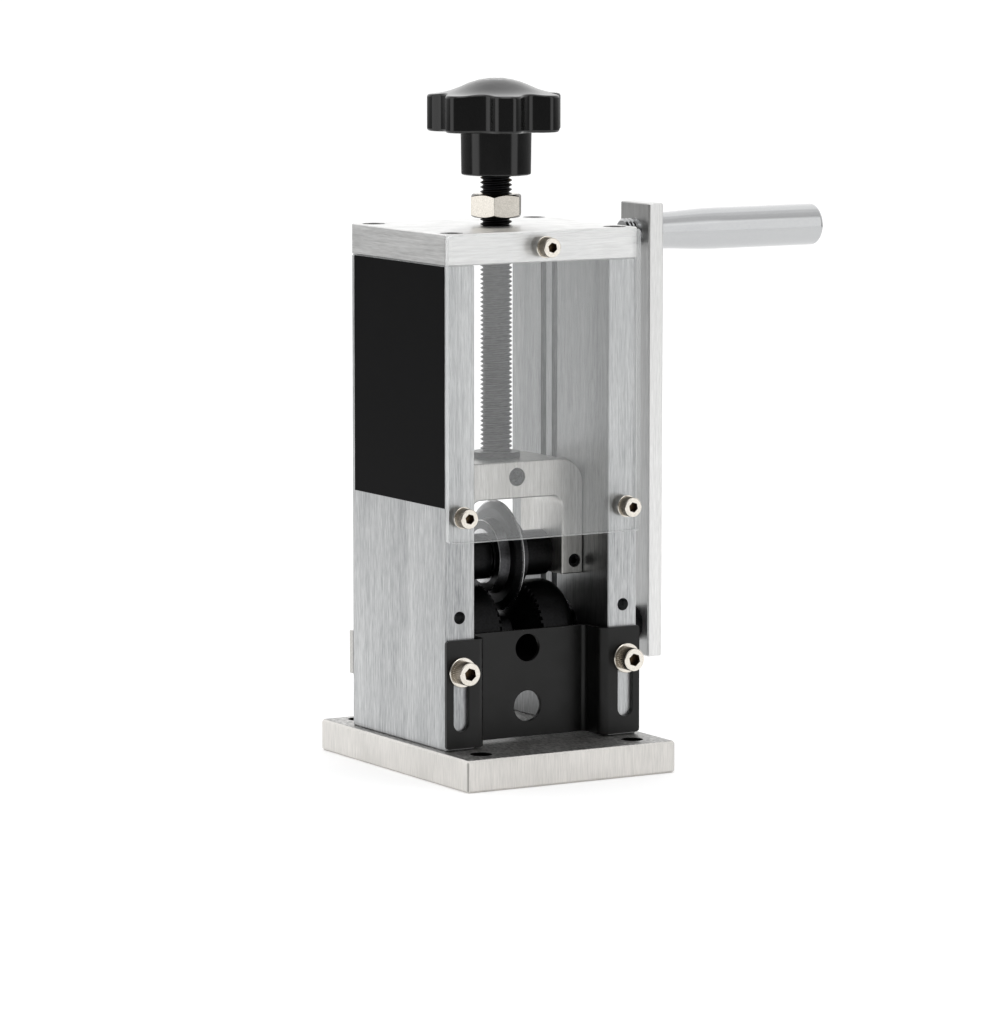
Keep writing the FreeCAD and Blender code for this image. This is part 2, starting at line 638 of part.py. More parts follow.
# -------------------------------------------------------------------- wire guide
def make_wire_guide():
    """Bent sheet with two flanges on the side plates and a recessed middle."""
    flange_back = FRONT_Y - FACE_GAP
    flange_front = flange_back - GUIDE_SHEET
    middle_back = -ROLLER_R - GUIDE_ROLLER_GAP
    middle_front = middle_back - GUIDE_SHEET
    web_outer = SIDE_INNER_X - GUIDE_WEB_GAP
    web_inner = web_outer - GUIDE_SHEET
    flange_end = FRAME_HALF_WIDTH + GUIDE_OVERHANG
    z_ends = (GUIDE_BOTTOM_Z, GUIDE_BOTTOM_Z + GUIDE_HEIGHT)
    sheet = block((-web_outer, web_outer), (middle_front, middle_back), z_ends)
    for side in SIDES:
        web = block(across(side, web_inner, web_outer), (flange_front, middle_back), z_ends)
        flange_x = across(side, web_inner, flange_end)
        flange = block(flange_x, (flange_front, flange_back), z_ends)
        sheet = sheet.fuse(web).fuse(flange)
    sheet = sheet.removeSplitter()

    # bends: the inside and the outside of each bend share one centre
    inside_bends = []
    outside_bends = []
    corners = []
    for edge in straight_edges(sheet, Z_AXIS):
        edge_x = abs(edge.Vertexes[0].X)
        edge_y = edge.Vertexes[0].Y
        at_inside_x = abs(edge_x - web_inner) < SAME_PLACE
        at_outside_x = abs(edge_x - web_outer) < SAME_PLACE
        at_front = abs(edge_y - flange_front) < SAME_PLACE
        at_back = abs(edge_y - middle_back) < SAME_PLACE
        if (at_inside_x and at_front) or (at_outside_x and at_back):
            outside_bends.append(edge)
        elif at_inside_x or at_outside_x:
            inside_bends.append(edge)
    sheet = sheet.makeFillet(GUIDE_BEND, inside_bends)
    outside_points = [edge.CenterOfMass for edge in outside_bends]
    outside_bends = []
    for edge in straight_edges(sheet, Z_AXIS):
        if min((edge.CenterOfMass - point).Length for point in outside_points) < SAME_PLACE:
            outside_bends.append(edge)
    sheet = sheet.makeFillet(GUIDE_BEND + GUIDE_SHEET, outside_bends)
    for edge in straight_edges(sheet, Y_AXIS):
        if abs(abs(edge.Vertexes[0].X) - flange_end) < SAME_PLACE:
            corners.append(edge)
    sheet = sheet.makeFillet(GUIDE_CORNER, corners)

    for radius, rise in ((UPPER_WIRE_R, UPPER_WIRE_RISE), (LOWER_WIRE_R, LOWER_WIRE_RISE)):
        hole_start = Vector(0, middle_front, GUIDE_BOTTOM_Z + rise)
        sheet = sheet.cut(cylinder(radius, hole_start, Y_AXIS, GUIDE_SHEET))
    slot_bottom = GUIDE_BOTTOM_Z + SLOT_BOTTOM_RISE + SLOT_HALF_WIDTH
    slot_top = GUIDE_BOTTOM_Z + SLOT_TOP_RISE - SLOT_HALF_WIDTH
    screws = []
    washers = []
    for side in SIDES:
        slot_x = side * GUIDE_SCREW_X
        x_ends = (slot_x - SLOT_HALF_WIDTH, slot_x + SLOT_HALF_WIDTH)
        slot = block(x_ends, (flange_front, flange_back), (slot_bottom, slot_top))
        for end_z in (slot_bottom, slot_top):
            end_start = Vector(slot_x, flange_front, end_z)
            slot = slot.fuse(cylinder(SLOT_HALF_WIDTH, end_start, Y_AXIS, GUIDE_SHEET))
        sheet = sheet.cut(slot)
        washer_back = Vector(slot_x, flange_front - FACE_GAP, GUIDE_SCREW_Z)
        washer = cylinder(WASHER_R, washer_back, FORWARD, WASHER_THICK)
        washer = washer.cut(cylinder(M6.radius + SHANK_GAP, washer_back, FORWARD, WASHER_THICK))
        washers.append(washer.Solids[0])
        seat = washer_back + FORWARD * WASHER_THICK
        screws.append(cap_screw(M6, seat, FORWARD, GUIDE_SCREW_LENGTH))
    save("wire_guide", sheet.Solids)
    save("guide_washers", washers)
    save("guide_screws", screws)


def make_rear_wire_rest():
    """Flat bar across the back of the side plates."""
    z_ends = (REST_BOTTOM_Z, REST_BOTTOM_Z + REST_HEIGHT)
    bar = block((-FRAME_HALF_WIDTH, FRAME_HALF_WIDTH), (BACK_Y, BACK_Y + REST_THICK), z_ends)
    bar = bar.makeChamfer(PLATE_EDGE, level_edges(bar, "Y", BACK_Y + REST_THICK))
    screws = []
    for side in SIDES:
        seat = Vector(side * PLATE_MID_X, BACK_Y + REST_THICK, REST_BOTTOM_Z + REST_HEIGHT / 2)
        bar = bar.cut(cylinder(M6_LOW.radius + SHANK_GAP, seat, FORWARD, REST_THICK))
        screws.append(cap_screw(M6_LOW, seat, Y_AXIS, REST_SCREW_LENGTH))
    save("rear_wire_rest", bar.Solids)
    save("rear_rest_screws", screws)


# -------------------------------------------------------------------- drive line
def make_drive_shaft():
    start_x = -(POCKET_END_X + POCKET_RELIEF - END_GAP)
    end_x = ARM_OUTER_X + SHAFT_PROUD
    outline = [
        (start_x, 0),
        (start_x, SHAFT_R - SHAFT_EDGE),
        (start_x + SHAFT_EDGE, SHAFT_R),
        (end_x - SHAFT_EDGE, SHAFT_R),
        (end_x, SHAFT_R - SHAFT_EDGE),
        (end_x, 0),
    ]
    shaft = turned_x(outline, SHAFT_Z)
    socket = hexagon(SHAFT_SOCKET, SHAFT_SOCKET_DEPTH)
    shaft = shaft.cut(aimed(socket, Vector(end_x, 0, SHAFT_Z), -X_AXIS))
    save("drive_shaft", shaft.Solids)


def make_feed_roller():
    """Roller with a central V groove whose rim is toothed, held by two set screws."""
    bore = SHAFT_R + SLIP_GAP
    outline = [
        (-ROLLER_HALF, bore),
        (-ROLLER_HALF, ROLLER_R),
        (-GROOVE_MOUTH_HALF, ROLLER_R),
        (-GROOVE_FLOOR_HALF, GROOVE_FLOOR_R),
        (GROOVE_FLOOR_HALF, GROOVE_FLOOR_R),
        (GROOVE_MOUTH_HALF, ROLLER_R),
        (ROLLER_HALF, ROLLER_R),
        (ROLLER_HALF, bore),
    ]
    roller = turned_x(outline, SHAFT_Z)
    rims = []
    for side in SIDES:
        for edge in level_edges(roller, "X", side * ROLLER_HALF):
            if abs(edge.BoundBox.ZMax - SHAFT_Z - ROLLER_R) < SAME_PLACE:
                rims.append(edge)
    roller = roller.makeFillet(ROLLER_END_ROUND, rims)

    wedges = []
    step = 2 * math.pi / NOTCH_COUNT
    wedge_rise = ROLLER_R + NOTCH_DEPTH
    wedge_end = GROOVE_MOUTH_HALF + NOTCH_END
    half_width = (wedge_rise - ROLLER_R + NOTCH_DEPTH) * math.tan(math.radians(NOTCH_FLANK_DEG))
    profile = (
        (ROLLER_R - NOTCH_DEPTH, 0),
        (wedge_rise, half_width),
        (wedge_rise, -half_width),
    )
    for index in range(NOTCH_COUNT):
        corners = [Vector(-wedge_end, sideways, radius) for radius, sideways in profile]
        triangle = Part.Face(Part.makePolygon(corners + corners[:1]))
        wedge = triangle.extrude(Vector(2 * wedge_end, 0, 0))
        wedge.rotate(Vector(0, 0, 0), X_AXIS, math.degrees(index * step))
        wedge.translate(Vector(0, 0, SHAFT_Z))
        wedges.append(wedge)
    roller = roller.cut(wedges)

    screws = []
    for side in SIDES:
        rim = Vector(side * (ROLLER_HALF - ROLLER_SCREW_INSET), ROLLER_R, SHAFT_Z)
        roller = roller.cut(cylinder(SET_SCREW_R, rim, FORWARD, ROLLER_R - SHAFT_R / 2))
        start = rim + FORWARD * SET_SCREW_SINK
        length = ROLLER_R - SET_SCREW_SINK - SHAFT_R - SLIP_GAP
        screw = set_screw(SET_SCREW_R, SET_SCREW_SOCKET, SET_SCREW_SOCKET_DEPTH, start, FORWARD, length)
        screws.append(screw)
    save("feed_roller", roller.Solids)
    save("roller_set_screws", screws)


def make_shaft_spacers_and_bearings():
    spacers = []
    inner_rings = []
    outer_rings = []
    balls = []
    bore = SHAFT_R + SLIP_GAP
    rim = SHAFT_R + SHAFT_SPACER_WALL
    for side in SIDES:
        near, far = across(side, ROLLER_HALF, ROLLER_HALF + SHAFT_SPACER_LENGTH)
        outline = [(near, bore), (far, bore), (far, rim), (near, rim)]
        spacers.append(turned_x(outline, SHAFT_Z))
        inner, outer, ring_balls = bearing(SHAFT_BEARING, side * SHAFT_BEARING_X, SHAFT_Z)
        inner_rings.append(inner)
        outer_rings.append(outer)
        balls.extend(ring_balls)
    save("shaft_spacers", spacers)
    save("shaft_bearing_inner_rings", inner_rings)
    save("shaft_bearing_outer_rings", outer_rings)
    save("shaft_bearing_balls", balls)


# -------------------------------------------------------------------- hand crank
def make_crank_arm():
    z_ends = (SHAFT_Z - ARM_BELOW_SHAFT, HANDLE_Z + ARM_ABOVE_HANDLE)
    arm = block((ARM_INNER_X, ARM_OUTER_X), (-ARM_HALF_WIDTH, ARM_HALF_WIDTH), z_ends)
    arm = arm.makeChamfer(ARM_EDGE, arm.Edges)
    arm = arm.cut(cylinder(SHAFT_R + SLIP_GAP, Vector(ARM_INNER_X, 0, SHAFT_Z), X_AXIS, ARM_THICK))
    arm = arm.cut(cylinder(STUD_R + SCREW_GAP, Vector(ARM_INNER_X, 0, HANDLE_Z), X_AXIS, ARM_THICK))
    screw_x = (ARM_INNER_X + ARM_OUTER_X) / 2
    arm = arm.cut(cylinder(ARM_SCREW_R, Vector(screw_x, 0, z_ends[0]), Z_AXIS, ARM_BELOW_SHAFT))
    start = Vector(screw_x, 0, z_ends[0] + SET_SCREW_SINK)
    length = ARM_BELOW_SHAFT - SET_SCREW_SINK - SHAFT_R - SLIP_GAP
    screw = set_screw(ARM_SCREW_R, ARM_SCREW_SOCKET, SET_SCREW_SOCKET_DEPTH, start, Z_AXIS, length)
    save("crank_arm", arm.Solids)
    save("arm_set_screw", [screw])


def make_handle_spindle():
    """Stud through the arm, a journal for the grip, and a head that keeps the grip on."""
    stud_start = ARM_INNER_X - STUD_PROUD
    head_end = ARM_OUTER_X + END_GAP + GRIP_LENGTH - SPINDLE_HEAD_SINK
    head_start = head_end - SPINDLE_HEAD_LENGTH
    stud_root = STUD_R - STUD_THREAD_DEPTH
    threads = thread_rings(stud_start, ARM_INNER_X, STUD_PITCH, stud_root, STUD_R, STUD_CREST_FLAT)
    outline = [(stud_start, 0)] + threads
    outline += [
        (ARM_INNER_X, STUD_R),
        (ARM_OUTER_X, STUD_R),
        (ARM_OUTER_X, SPINDLE_R),
        (head_start, SPINDLE_R),
        (head_start, SPINDLE_HEAD_R),
        (head_end, SPINDLE_HEAD_R),
        (head_end, 0),
    ]
    spindle = turned_x(outline, HANDLE_Z)
    socket = hexagon(SPINDLE_SOCKET, SPINDLE_SOCKET_DEPTH)
    spindle = spindle.cut(aimed(socket, Vector(head_end, 0, HANDLE_Z), -X_AXIS))
    save("handle_spindle", spindle.Solids)


def make_handle_grip():
    """Steel grip that swells from its neck, bored for the spindle and its head."""
    start = ARM_OUTER_X + END_GAP
    end = start + GRIP_LENGTH
    swell_end = start + GRIP_SWELL_LENGTH
    seat = end - SPINDLE_HEAD_SINK - SPINDLE_HEAD_LENGTH - END_GAP
    bore = SPINDLE_R + RUNNING_GAP

    def at(along, radius):
        return Vector(along, 0, HANDLE_Z + radius)

    swell_middle = at((start + swell_end) / 2, GRIP_R - (GRIP_R - GRIP_NECK_R) / 4)
    round_middle = at(
        end - GRIP_END_ROUND * (1 - math.sqrt(0.5)),
        GRIP_R - GRIP_END_ROUND * (1 - math.sqrt(0.5)),
    )
    corners = [
        at(end, GRIP_R - GRIP_END_ROUND),
        at(end, GRIP_COUNTERBORE_R),
        at(seat, GRIP_COUNTERBORE_R),
        at(seat, bore),
        at(start, bore),
        at(start, GRIP_NECK_R),
    ]
    edges = [
        Part.Arc(at(start, GRIP_NECK_R), swell_middle, at(swell_end, GRIP_R)).toShape(),
        Part.makeLine(at(swell_end, GRIP_R), at(end - GRIP_END_ROUND, GRIP_R)),
        Part.Arc(at(end - GRIP_END_ROUND, GRIP_R), round_middle, corners[0]).toShape(),
    ]
    edges += Part.makePolygon(corners).Edges
    save("handle_grip", [turned(edges, Vector(0, 0, HANDLE_Z), X_AXIS)])


# ---------------------------------------------------------------- yoke and blade
def make_yoke():
    """Upside-down U block with guide rails, bored for the rod's spigot and the axle."""
    y_ends = (-YOKE_HALF_DEPTH, YOKE_HALF_DEPTH)
    yoke = block((-YOKE_HALF_WIDTH, YOKE_HALF_WIDTH), y_ends, (YOKE_BOTTOM_Z, YOKE_TOP_Z))
    opening = block((-YOKE_OPENING_HALF, YOKE_OPENING_HALF), y_ends, (YOKE_BOTTOM_Z, OPENING_TOP_Z))
    yoke = yoke.cut(opening)
    shoulders = []
    for edge in straight_edges(yoke, Y_AXIS):
        height = edge.Vertexes[0].Z
        if abs(height - YOKE_TOP_Z) < SAME_PLACE:
            shoulders.append(edge)
    yoke = yoke.makeFillet(YOKE_SHOULDER, shoulders)
    inner_corners = []
    for edge in straight_edges(yoke, Y_AXIS):
        at_side = abs(abs(edge.Vertexes[0].X) - YOKE_OPENING_HALF) < SAME_PLACE
        if at_side and abs(edge.Vertexes[0].Z - OPENING_TOP_Z) < SAME_PLACE:
            inner_corners.append(edge)
    yoke = yoke.makeFillet(YOKE_INNER_ROUND, inner_corners)
    faces = level_edges(yoke, "Y", -YOKE_HALF_DEPTH) + level_edges(yoke, "Y", YOKE_HALF_DEPTH)
    yoke = yoke.makeChamfer(YOKE_EDGE, faces)

    rail_z = (YOKE_BOTTOM_Z + YOKE_EDGE, YOKE_TOP_Z - YOKE_SHOULDER)
    for side in SIDES:
        for rail_y in (FRONT_RAIL_Y, BACK_RAIL_Y):
            rail_x = across(side, YOKE_HALF_WIDTH - RAIL_HEIGHT, YOKE_HALF_WIDTH + RAIL_HEIGHT)
            rail_ends = (rail_y - RAIL_WIDTH / 2, rail_y + RAIL_WIDTH / 2)
            yoke = yoke.fuse(block(rail_x, rail_ends, rail_z))
    axle_start = Vector(-YOKE_HALF_WIDTH - RAIL_HEIGHT, 0, AXLE_Z)
    axle_hole = cylinder(AXLE_R + SLIP_GAP, axle_start, X_AXIS, 2 * (YOKE_HALF_WIDTH + RAIL_HEIGHT))
    yoke = yoke.cut(axle_hole)
    spigot_hole = cylinder(SPIGOT_R + RUNNING_GAP, Vector(0, 0, OPENING_TOP_Z), Z_AXIS, YOKE_CROSSBAR)
    yoke = yoke.cut(spigot_hole)
    screw_front = Vector(0, -YOKE_HALF_DEPTH, YOKE_SCREW_Z)
    yoke = yoke.cut(cylinder(YOKE_SCREW_R, screw_front, Y_AXIS, YOKE_HALF_DEPTH))

    leg_screws = []
    leg_screw_z = AXLE_Z - LEG_SCREW_DROP
    for side in SIDES:
        front = Vector(side * (YOKE_HALF_WIDTH - LEG_SCREW_INSET), -YOKE_HALF_DEPTH, leg_screw_z)
        yoke = yoke.cut(cylinder(SET_SCREW_R, front, Y_AXIS, YOKE_HALF_DEPTH))
        start = front + Y_AXIS * SET_SCREW_SINK
        length = YOKE_HALF_DEPTH - SET_SCREW_SINK - AXLE_R - SLIP_GAP
        screw = set_screw(SET_SCREW_R, SET_SCREW_SOCKET, SET_SCREW_SOCKET_DEPTH, start, Y_AXIS, length)
        leg_screws.append(screw)
    save("yoke", yoke.Solids)
    save("leg_set_screws", leg_screws)

    start = screw_front + Y_AXIS * YOKE_SCREW_SINK
    length = YOKE_HALF_DEPTH - YOKE_SCREW_SINK - SPIGOT_GROOVE_R - SPIGOT_TIP_GAP
    tip_length = SPIGOT_R + RUNNING_GAP - SPIGOT_GROOVE_R - SPIGOT_TIP_GAP + YOKE_SCREW_TIP_EXTRA
    screw = set_screw(
        YOKE_SCREW_R, YOKE_SCREW_SOCKET, YOKE_SCREW_SOCKET_DEPTH,
        start, Y_AXIS, length, YOKE_SCREW_TIP_R, tip_length,
    )
    save("yoke_set_screw", [screw])


def make_blade():
    """Round double-bevelled blade on a hub, bored from both ends for its bearings."""
    bore = BLADE_BEARING.outer_radius + SLIP_GAP
    shoulder = BLADE_BEARING_SPLIT / 2
    shoulder_r = BLADE_BEARING.outer_radius - BLADE_SHOULDER
    half = [
        (shoulder, shoulder_r),
        (shoulder, bore),
        (BOSS_HALF_LENGTH, bore),
        (BOSS_HALF_LENGTH, BLADE_BEARING.outer_radius + BOSS_END_WALL),
        (BLADE_HALF_THICK, BLADE_BEARING.outer_radius + BOSS_FOOT_WALL),
        (BLADE_HALF_THICK, BLADE_R - BLADE_BEVEL),
        (BLADE_EDGE_HALF, BLADE_R),
    ]
    mirrored = [(-along, radius) for along, radius in reversed(half)]
    save("stripping_blade", [turned_x(half + mirrored, AXLE_Z)])


def make_blade_axle_and_bearings():
    axle_half = YOKE_HALF_WIDTH - AXLE_END_INSET
    outline = [
        (-axle_half, 0),
        (-axle_half, AXLE_R - SHAFT_EDGE),
        (-axle_half + SHAFT_EDGE, AXLE_R),
        (axle_half - SHAFT_EDGE, AXLE_R),
        (axle_half, AXLE_R - SHAFT_EDGE),
        (axle_half, 0),
    ]
    save("blade_axle", [turned_x(outline, AXLE_Z)])

    bearing_x = BLADE_BEARING_SPLIT / 2 + BLADE_BEARING.width / 2
    nose_x = bearing_x + BLADE_BEARING.width / 2
    spacer_r = AXLE_R + BLADE_SPACER_WALL
    body_x = BOSS_HALF_LENGTH + END_GAP
    bore = AXLE_R + SLIP_GAP
    spacer_outline = [
        (nose_x, bore),
        (nose_x, BLADE_SPACER_NOSE_R),
        (body_x, BLADE_SPACER_NOSE_R),
        (body_x, spacer_r),
        (YOKE_OPENING_HALF, spacer_r),
        (YOKE_OPENING_HALF, bore),
    ]
    right_spacer = turned_x(spacer_outline, AXLE_Z)
    split = BLADE_BEARING_SPLIT / 2
    distance_outline = [
        (-split, bore),
        (-split, BLADE_SPACER_NOSE_R),
        (split, BLADE_SPACER_NOSE_R),
        (split, bore),
    ]
    distance_ring = turned_x(distance_outline, AXLE_Z)
    save("blade_spacers", [right_spacer, mirrored_x(right_spacer), distance_ring])

    inner_rings = []
    outer_rings = []
    balls = []
    for side in SIDES:
        inner, outer, ring_balls = bearing(BLADE_BEARING, side * bearing_x, AXLE_Z)
        inner_rings.append(inner)
        outer_rings.append(outer)
        balls.extend(ring_balls)
    save("blade_bearing_inner_rings", inner_rings)
    save("blade_bearing_outer_rings", outer_rings)
    save("blade_bearing_balls", balls)


# ---------------------------------------------------- pressure rod, nut and knob
def make_pressure_screw():
    """Threaded rod with a flange on the yoke and a grooved spigot inside it."""
    root = ROD_CREST_R - ROD_THREAD_DEPTH
    rings = thread_rings(FLANGE_TOP_Z, ROD_END_Z, ROD_PITCH, root, ROD_CREST_R, ROD_CREST_FLAT)
    spigot_bottom = OPENING_TOP_Z + SPIGOT_END_INSET
    outline = [
        (0, spigot_bottom),
        (SPIGOT_R, spigot_bottom),
        (SPIGOT_R, YOKE_SCREW_Z - SPIGOT_GROOVE_HALF),
        (SPIGOT_GROOVE_R, YOKE_SCREW_Z - SPIGOT_GROOVE_HALF),
        (SPIGOT_GROOVE_R, YOKE_SCREW_Z + SPIGOT_GROOVE_HALF),
        (SPIGOT_R, YOKE_SCREW_Z + SPIGOT_GROOVE_HALF),
        (SPIGOT_R, FLANGE_BOTTOM_Z),
        (FLANGE_R, FLANGE_BOTTOM_Z),
        (FLANGE_R, FLANGE_TOP_Z),
    ]
    outline += [(radius, height) for height, radius in rings]
    outline.append((0, ROD_END_Z))
    save("pressure_screw", [turned_z(outline)])


def make_lock_nut():
    nut = hexagon(NUT_ACROSS_FLATS, NUT_HEIGHT, NUT_CORNER_DEG)
    corner_r = NUT_ACROSS_FLATS / 2 / math.cos(math.pi / 6)
    drop = (corner_r - NUT_ACROSS_FLATS / 2 + NUT_CHAMFER / 2) * math.tan(math.radians(30))
    face_r = NUT_ACROSS_FLATS / 2 - NUT_CHAMFER / 2
    barrel = [
        (0, 0),
        (face_r, 0),
        (corner_r, drop),
        (corner_r, NUT_HEIGHT - drop),
        (face_r, NUT_HEIGHT),
        (0, NUT_HEIGHT),
    ]
    nut = nut.common(turned_z(barrel))
    bore = ROD_CREST_R + ROD_THREAD_GAP
    bore_outline = [
        (0, 0),
        (bore + ROD_BORE_EDGE, 0),
        (bore, ROD_BORE_EDGE),
        (bore, NUT_HEIGHT - ROD_BORE_EDGE),
        (bore + ROD_BORE_EDGE, NUT_HEIGHT),
        (0, NUT_HEIGHT),
    ]
    nut = nut.cut(turned_z(bore_outline)).Solids[0]
    nut.translate(Vector(0, 0, NUT_BOTTOM_Z))
    save("lock_nut", [nut])


def knob_outline(height):
    """Closed outline of lobes and flutes; each flute is tangent to the lobes beside it."""
    half_step = math.pi / KNOB_LOBES
    lobe_centre_r = KNOB_R - LOBE_END_R
    lean = math.cos(half_step)
    spread = lobe_centre_r ** 2 + FLUTE_MIN_R ** 2 - 2 * lobe_centre_r * FLUTE_MIN_R * lean
    flute_r = (spread - LOBE_END_R ** 2) / (2 * (LOBE_END_R - FLUTE_MIN_R + lobe_centre_r * lean))
    flute_centre_r = FLUTE_MIN_R + flute_r

    def polar(radius, angle):
        return Vector(radius * math.cos(angle), radius * math.sin(angle), height)

    edges = []
    for index in range(KNOB_LOBES):
        angle = math.radians(FIRST_LOBE_DEG) + 2 * half_step * index
        lobe = polar(lobe_centre_r, angle)
        touches = []
        for flute_angle in (angle - half_step, angle + half_step):
            towards = polar(flute_centre_r, flute_angle) - lobe
            touches.append(lobe + towards * (LOBE_END_R / towards.Length))
        edges.append(Part.Arc(touches[0], polar(KNOB_R, angle), touches[1]).toShape())
        next_angle = angle + 2 * half_step
        next_lobe = polar(lobe_centre_r, next_angle)
        back = polar(flute_centre_r, angle + half_step) - next_lobe
        next_touch = next_lobe + back * (LOBE_END_R / back.Length)
        flute_bottom = polar(FLUTE_MIN_R, angle + half_step)
        edges.append(Part.Arc(touches[1], flute_bottom, next_touch).toShape())
    return edges


def make_star_knob():
    """Lobed head with a low dome, on a hub that holds the threaded insert."""
    head = Part.Face(Part.Wire(knob_outline(LOBE_BOTTOM_Z))).extrude(Vector(0, 0, LOBE_BAND + DOME_RISE))

    # the dome falls from the middle to the rim in two arcs that meet half way
    mid_r = KNOB_R / 2
    mid_z = LOBE_TOP_Z + DOME_RISE / 2
    half_fall = math.atan2(DOME_RISE / 2, mid_r)
    arc_r = mid_r / math.sin(2 * half_fall)
    arc_x = arc_r * math.sin(half_fall)
    arc_z = arc_r * (1 - math.cos(half_fall))
    crown = Vector(0, 0, LOBE_TOP_Z + DOME_RISE)
    middle = Vector(mid_r, 0, mid_z)
    rim = Vector(KNOB_R, 0, LOBE_TOP_Z)
    corners = [
        rim,
        Vector(KNOB_R + KNOB_EDGE, 0, LOBE_TOP_Z),
        Vector(KNOB_R + KNOB_EDGE, 0, LOBE_BOTTOM_Z),
        Vector(0, 0, LOBE_BOTTOM_Z),
        crown,
    ]
    edges = [
        Part.Arc(crown, crown + Vector(arc_x, 0, -arc_z), middle).toShape(),
        Part.Arc(middle, rim + Vector(-arc_x, 0, arc_z), rim).toShape(),
    ]
    edges += Part.makePolygon(corners).Edges
    head = head.common(turned(edges, Vector(0, 0, 0), Z_AXIS)).Solids[0]
    head = head.makeFillet(KNOB_EDGE, level_edges(head, "Z", LOBE_BOTTOM_Z))

    hub_outline = [
        (0, HUB_BOTTOM_Z),
        (HUB_BOTTOM_R, HUB_BOTTOM_Z),
        (HUB_TOP_R, LOBE_BOTTOM_Z),
        (HUB_TOP_R, LOBE_BOTTOM_Z + KNOB_EDGE),
        (0, LOBE_BOTTOM_Z + KNOB_EDGE),
    ]
    knob = head.fuse(turned_z(hub_outline))
    insert_start = Vector(0, 0, HUB_BOTTOM_Z)
    pocket = aimed(hexagon(INSERT_ACROSS_FLATS + 2 * SLIP_GAP, HUB_HEIGHT), insert_start, Z_AXIS)
    knob = knob.cut(pocket)
    save("star_knob", knob.Solids)

    insert = aimed(hexagon(INSERT_ACROSS_FLATS, HUB_HEIGHT), insert_start, Z_AXIS)
    rod_hole = cylinder(ROD_CREST_R + SLIP_GAP, insert_start, Z_AXIS, HUB_HEIGHT - ROD_END_INSET)
    save("knob_insert", insert.cut(rod_hole).Solids)


# ------------------------------------------------------------------------- build
def main():
    os.makedirs("parts", exist_ok=True)
    make_base_plate()
    make_side_plate(-1, "left_side_plate")
    make_side_plate(1, "right_side_plate")
    make_top_plate()
    make_plate_screws()
    make_safety_shield()
    make_side_label()
    make_wire_guide()
    make_rear_wire_rest()
    make_drive_shaft()
    make_feed_roller()
    make_shaft_spacers_and_bearings()
    make_crank_arm()
    make_handle_spindle()
    make_handle_grip()
    make_yoke()
    make_blade()
    make_blade_axle_and_bearings()
    make_pressure_screw()
    make_lock_nut()
    make_star_knob()


main()
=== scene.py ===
"""Looks of a bench wire stripper with a hand crank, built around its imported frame."""

import logging
import math
from collections.abc import Callable
from dataclasses import dataclass
from enum import Enum
from functools import cache
from typing import ClassVar

import bmesh
import bpy
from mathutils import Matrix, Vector


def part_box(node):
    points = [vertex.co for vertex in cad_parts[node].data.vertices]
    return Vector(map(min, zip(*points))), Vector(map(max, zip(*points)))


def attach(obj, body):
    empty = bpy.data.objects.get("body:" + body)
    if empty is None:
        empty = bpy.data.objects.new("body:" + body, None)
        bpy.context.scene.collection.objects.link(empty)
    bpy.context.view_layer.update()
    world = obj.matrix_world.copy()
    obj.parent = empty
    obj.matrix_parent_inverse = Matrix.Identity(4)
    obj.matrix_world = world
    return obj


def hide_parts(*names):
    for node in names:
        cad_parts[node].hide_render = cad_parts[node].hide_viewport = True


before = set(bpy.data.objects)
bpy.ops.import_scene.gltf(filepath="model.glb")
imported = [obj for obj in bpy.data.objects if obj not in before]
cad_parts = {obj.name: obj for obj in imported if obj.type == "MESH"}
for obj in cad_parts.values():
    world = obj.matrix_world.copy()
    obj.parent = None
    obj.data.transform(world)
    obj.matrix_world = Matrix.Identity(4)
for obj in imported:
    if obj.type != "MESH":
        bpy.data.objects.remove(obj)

LOG = logging.getLogger("wire_stripper")
SAME_PLACE = 2e-6   # metres; corners closer than this are one corner
NEAR = 0.01         # millimetres; allowance when faces and corners are picked by their place
ALONG = 0.9         # cosine past which a direction counts as along an axis
Profile = list[tuple[float, float]]
Test = Callable[[Vector, Vector], bool]
Tree = bpy.types.NodeTree
Socket = bpy.types.NodeSocket


class Axis(Enum):
    """The direction that a machined surface's lines run in."""

    X = 0
    Y = 1
    Z = 2


class Facing(Enum):
    """Which way a piece's own length points once it is in place, as turns about x, y and z."""

    UP = (0.0, 0.0, 0.0)
    RIGHT = (0.0, 90.0, 0.0)
    FRONT = (90.0, 0.0, 0.0)


class Kind(Enum):
    """What an edit-mode selection is made of."""

    VERTEX = "VERT"
    EDGE = "EDGE"
    FACE = "FACE"


def mm(value: float) -> float:
    """Millimetres as metres."""
    return value / 1000


def spot(x: float, y: float, z: float) -> Vector:
    """A place given in millimetres."""
    return Vector((x, y, z)) / 1000


def linear(hex_code: str) -> tuple[float, ...]:
    """Linear RGBA of an sRGB colour such as #c8c8c8."""
    channels = [int(hex_code[start : start + 2], 16) / 255 for start in (1, 3, 5)]
    return tuple(c / 12.92 if c <= 0.04045 else ((c + 0.055) / 1.055) ** 2.4 for c in channels) + (1.0,)


def add_node(tree: Tree, kind: str, inputs: dict | None = None, **settings) -> bpy.types.bpy_prop_collection:
    """Adds one node to a tree.

    Args:
        tree: The node tree to add to.
        kind: Blender's name of the shader node, without the words in front that all of them share.
        inputs: Value, or output socket to link, for each input by name or index.
        settings: The node's own settings.

    Returns:
        The new node's outputs.
    """
    node = tree.nodes.new(f"ShaderNode{kind}")
    for name, value in settings.items():
        setattr(node, name, value)
    for key, value in (inputs or {}).items():
        if isinstance(value, Socket):
            tree.links.new(value, node.inputs[key])
        else:
            node.inputs[key].default_value = value
    return node.outputs


